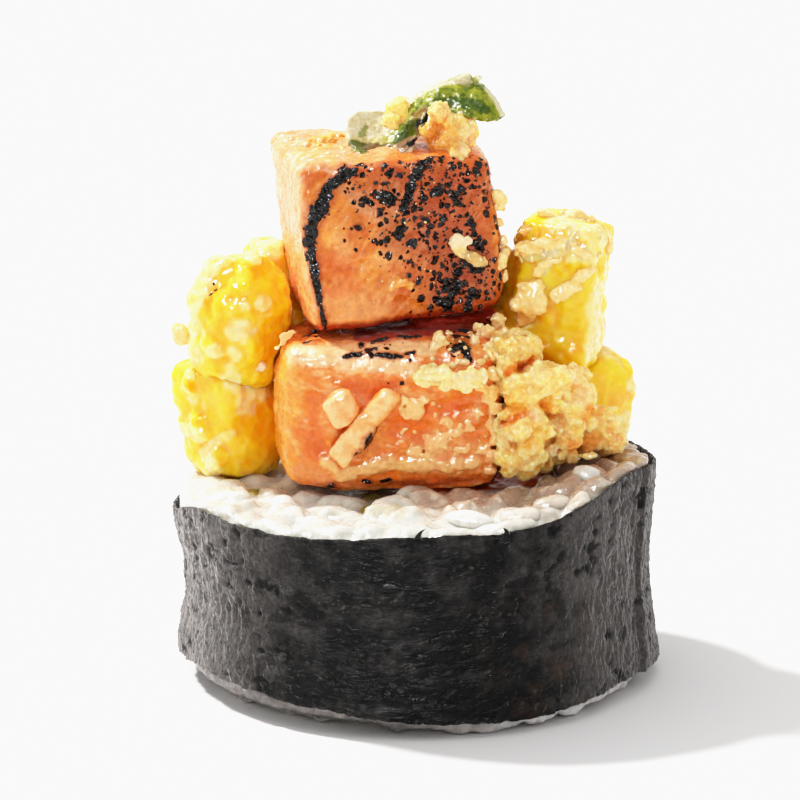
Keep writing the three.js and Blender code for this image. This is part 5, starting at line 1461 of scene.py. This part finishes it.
def green():
    rng = np.random.default_rng(600)
    st = np.array([[*lo, *hi, yl, yh, sag] for lo, hi, yl, yh, sag in CURL], float)
    k = np.linspace(0, len(st) - 1, 90)
    i = np.clip(np.floor(k).astype(int), 0, len(st) - 2)
    t = (k - i)[:, None]
    p0, p1, p2, p3 = st[np.clip(i - 1, 0, None)], st[i], st[i + 1], st[np.clip(i + 2, None, len(st) - 1)]
    S = p1 + 0.5 * t * (p2 - p0 + t * (2 * p0 - 5 * p1 + 4 * p2 - p3 + t * (3 * (p1 - p2) + p3 - p0)))

    def at(u, v, y):
        d = ray(u, v)
        return EYE + d * (y - EYE[1]) / d[1]

    m = 22
    mid = np.zeros((len(S), m, 3))
    for q, (ul, vl, uh, vh, yl, yh, sag) in enumerate(S):
        lo, hi = at(ul, vl, yl), at(uh, vh, yh)
        for j in range(m):
            w = j / (m - 1)
            mid[q, j] = lo + (hi - lo) * w + np.array([0, -0.25 * abs(sag), sag]) * 4 * w * (1 - w) * (0.8 if sag < 0 else 0.6)
    du, dv = np.gradient(mid, axis=0), np.gradient(mid, axis=1)
    nrm = np.cross(du, dv)
    nrm /= np.linalg.norm(nrm, axis=2)[:, :, None].clip(1e-6)
    if nrm[45, 11] @ UPV < 0:
        nrm = -nrm
    w = np.linspace(0, 1, m)[None, :, None]
    thick = 1.15 * (0.35 + 0.65 * np.sin(math.pi * np.clip(w, 0.06, 0.94)) ** 0.5)
    thick = thick * sm(-3, 8, np.arange(len(S)))[:, None, None] * sm(len(S) + 2, len(S) - 8, np.arange(len(S)))[:, None, None]
    top, bot = mid + nrm * thick / 2, mid - nrm * thick / 2
    n = len(S) * m
    P = np.concatenate([top.reshape(-1, 3), bot.reshape(-1, 3)])
    F = []
    for q in range(len(S) - 1):
        for j in range(m - 1):
            a, b, c, d = q * m + j, (q + 1) * m + j, (q + 1) * m + j + 1, q * m + j + 1
            F += [[a, b, c], [a, c, d], [a + n, c + n, b + n], [a + n, d + n, c + n]]
    for q in range(len(S) - 1):
        for j in (0, m - 1):
            a, b = q * m + j, (q + 1) * m + j
            F += [[a, a + n, b + n], [a, b + n, b]] if j == 0 else [[a, b + n, a + n], [a, b, b + n]]
    for j in range(m - 1):
        for q in (0, len(S) - 1):
            a, b = q * m + j, q * m + j + 1
            F += [[a, b, b + n], [a, b + n, a + n]] if q == 0 else [[a, b + n, b], [a, a + n, b + n]]
    parts = [(P, np.array(F))]
    for u, v, wd, ht, ang, y in [(462, 79, 25, 12, 12, 3.6), (478, 79, 9, 12, -20, 3.4), (468, 80, 10, 9, 0, 4.0), (434, 88, 12, 5, 20, 4.6), (412, 104, 8, 6, 0, 3.6)]:
        parts.append(lump(rng, at(u, v, y), (wd / 8.64, ht / 8.64, 1.6), view_frame(ang), level=BALL3, cuts=6, keep=0.75))
    V, F = remesh(*join(parts), 0.15)
    E = edges_of(F)
    V = relax(V, F, 4, 0.5, E)
    N = normals(V, F)
    V = V + N * (0.16 * fbm(V / 1.6, 3, 601) + 0.07 * fbm(V / 0.55, 2, 602))[:, None]
    N = normals(V, F)
    U = seen(V)
    face = sm(-0.05, 0.25, facing(V, N))
    n, fine = fbm(V / 1.3, 3, 603), fbm(V / 0.5, 3, 604)
    wob = 0.45 * fine
    green_c = mix(srgb(120, 134, 4), srgb(166, 164, 44), np.clip(0.45 + 0.6 * n + 0.5 * fine, 0, 1))
    green_c = mix(green_c, srgb(72, 96, 2), 0.7 * sm(0.05, 0.45, fine - 0.4 * n))
    cream = mix(srgb(228, 218, 190), srgb(204, 190, 138), np.clip(0.25 + 0.7 * n, 0, 1))
    # the front: a pale cup at the left with a green underside, a green band up to the right, a mottled green flap with pale rims
    col = cream.copy()
    lit = marks(U, [[(388, 146, 6), (397, 138, 10), (408, 128, 12), (414, 114, 12), (428, 101, 12), (448, 95, 12), (470, 97, 12)], [(470, 100, 16), (485, 108, 14), (492, 114, 9)], [(474, 84, 5), (482, 92, 8)], [(455, 106, 10), (465, 112, 10)]])
    col = mix(col, green_c, sm(-0.15, 0.15, lit + wob * 0.6))
    cup = marks(U, [[(362, 134, 4), (366, 128, 3)], [(357, 148, 6), (368, 151, 6)], [(385, 140, 5), (394, 134, 5)]])
    col = mix(col, srgb(128, 142, 48), 0.8 * sm(-0.2, 0.3, cup + wob))
    dark = marks(U, [[(398, 141, 5), (408, 132, 8), (413, 126, 6)], [(436, 102, 4), (455, 101, 5), (472, 104, 6), (486, 110, 5)]])
    col = mix(col, srgb(52, 84, 2), 0.8 * sm(-0.2, 0.3, dark + wob))
    olive = marks(U, [[(352, 141, 5), (372, 144, 6), (388, 141, 5)]])
    col = mix(col, srgb(196, 182, 104), 0.6 * sm(-0.3, 0.4, olive + wob))
    rim = marks(U, [[(404, 106, 4), (412, 97, 5), (425, 88, 5), (442, 81, 5), (458, 78, 6), (470, 79, 5)], [(455, 80, 5), (462, 77, 6), (468, 78, 4)], (478, 79, 6), [(487, 88, 3.4), (497, 101, 3.4), (504, 115, 4)]])
    col = mix(col, srgb(214, 204, 168), 0.9 * sm(-0.1, 0.3, rim + 0.5 * wob))
    edge_g = marks(U, [[(450, 79, 2.4), (458, 74, 2.2), (464, 72, 2)], [(472, 75, 2.4), (476, 82, 2.4)]])
    col = mix(col, srgb(140, 150, 70), 0.8 * sm(-0.2, 0.4, edge_g + wob))
    under = marks(U, [[(352, 143, 4), (360, 147, 5), (378, 149, 6), (396, 149, 6), (408, 144, 5)]])
    col = mix(col, mix(srgb(92, 104, 28), srgb(128, 96, 60), np.clip(0.5 + 1.2 * n + 0.02 * (U[:, 0] - 378), 0, 1)), 0.92 * sm(-0.1, 0.25, under + 0.5 * wob))
    brown = marks(U, [[(376, 153, 5), (390, 153, 6), (404, 148, 4)], [(420, 130, 5), (424, 138, 5)], [(416, 116, 5), (424, 110, 4)]])
    col = mix(col, srgb(136, 98, 52), 0.8 * sm(-0.2, 0.3, brown + wob))
    pinkish = marks(U, [[(396, 147, 3), (408, 141, 3), (414, 138, 3)]])
    col = mix(col, srgb(200, 160, 128), 0.7 * sm(-0.2, 0.3, pinkish + wob))
    back_side = mix(cream, green_c, sm(0.10, -0.35, N[:, 2] - 0.55 * N[:, 1] + 0.15 * n))
    col = mix(back_side, col, face)
    char = marks(U, [[(409, 144, 3.5), (417, 141, 3.5)], [(419, 123, 5), (427, 124, 6), (429, 114, 4)], (503, 119, 3)]) + 0.3 * fine
    col = mix(col, srgb(16, 12, 10), sm(-0.1, 0.3, char) * face)
    piece("green_curl_slice", V, F, M_GREEN, ["green_curl"], col)


# ---- stage ----------------------------------------------------------------------------------------------------
def stage():
    me = raw_mesh("floor", np.array([[-3, -3, 0], [3, -3, 0], [3, 3, 0], [-3, 3, 0]], float), np.array([[0, 1, 2, 3]]))
    ob = bpy.data.objects.new("floor", me)
    bpy.context.scene.collection.objects.link(ob)
    m = bpy.data.materials.new("floor_paper")
    m.use_nodes = True
    b = m.node_tree.nodes["Principled BSDF"]
    b.inputs["Base Color"].default_value = (0.86, 0.853, 0.853, 1)
    b.inputs["Roughness"].default_value = 0.9
    b.inputs["Specular IOR Level"].default_value = 0.1
    me.materials.append(m)
    # surroundings: pale overhead and behind, dim on the side of the viewer
    w = bpy.data.worlds.new("studio")
    w.use_nodes = True
    nt = w.node_tree
    bg = nt.nodes["Background"]
    tc = nt.nodes.new("ShaderNodeTexCoord")
    dot = nt.nodes.new("ShaderNodeVectorMath")
    dot.operation = "DOT_PRODUCT"
    dot.inputs[1].default_value = Vector(SKY_TOWARDS).normalized()
    nt.links.new(tc.outputs["Generated"], dot.inputs[0])
    r = nt.nodes.new("ShaderNodeMapRange")
    r.interpolation_type = "SMOOTHSTEP"
    r.inputs["From Min"].default_value = -0.55
    r.inputs["From Max"].default_value = 0.85
    r.inputs["To Min"].default_value = SKY_DIM
    r.inputs["To Max"].default_value = SKY_BRIGHT
    nt.links.new(dot.outputs["Value"], r.inputs["Value"])
    bg.inputs["Color"].default_value = (1.0, 0.995, 0.99, 1)
    nt.links.new(r.outputs["Result"], bg.inputs["Strength"])
    bpy.context.scene.world = w
    li = bpy.data.lights.new("key", "SUN")
    li.energy = KEY
    li.angle = math.radians(6)
    li.color = (1.0, 0.985, 0.96)
    o = bpy.data.objects.new("key", li)
    o.rotation_euler = (-Vector((-0.52, 0.31, 0.80))).to_track_quat("-Z", "Y").to_euler()
    bpy.context.scene.collection.objects.link(o)
    li = bpy.data.lights.new("glint", "SUN")
    li.energy = 4.5
    li.angle = math.radians(5)
    o = bpy.data.objects.new("glint", li)
    o.visible_diffuse = False
    o.rotation_euler = (-Vector((-0.30, -0.70, 0.65))).to_track_quat("-Z", "Y").to_euler()
    bpy.context.scene.collection.objects.link(o)
    cam = bpy.data.cameras.new("camera")
    cam.sensor_width = 36
    cam.lens = 36 * FOCAL / 800
    cam.clip_start, cam.clip_end = 0.01, 20
    o = bpy.data.objects.new("camera", cam)
    o.location = EYE * MM
    o.rotation_euler = (math.pi / 2 - PITCH, 0, 0)
    bpy.context.scene.collection.objects.link(o)
    bpy.context.scene.camera = o
    vs = bpy.context.scene.view_settings
    vs.view_transform = "Standard"
    vs.look = "None"
    vs.exposure = 0.0
    vs.gamma = 1.0
    # a print-like shoulder: bright things roll off to a near white instead of clipping
    vs.use_curve_mapping = True
    cm = vs.curve_mapping
    cm.use_clip = False
    curve = cm.curves[3]
    pts = SHOULDER
    curve.points[0].location = pts[0]
    curve.points[1].location = pts[-1]
    for x, y in pts[1:-1]:
        curve.points.new(x, y)
    for q in curve.points:
        q.handle_type = "AUTO_CLAMPED"
    cm.extend = "HORIZONTAL"
    cm.update()


SKY_TOWARDS = (-0.16, 0.60, 0.78)
SKY_DIM, SKY_BRIGHT = 0.66, 0.86
KEY = 3.1
SHOULDER = [(0, 0), (0.02, 0.013), (0.06, 0.047), (0.15, 0.145), (0.30, 0.335), (0.45, 0.54), (0.60, 0.71), (0.75, 0.84), (0.9, 0.925), (1.05, 0.958), (1.3, 0.967), (2.2, 0.98), (4.5, 1.0)]


stage()
seaweed()
rice()
fillings()
trees = {"lower": tree(*salmon_lower()), "upper": tree(*salmon_upper())}
for k, name in enumerate(MANGO_SAUCE):
    trees[name] = tree(*mango(name, 700 + 20 * k))
crumbs()
small_pieces()
green()
stuck(trees)

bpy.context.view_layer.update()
lap_time("done")
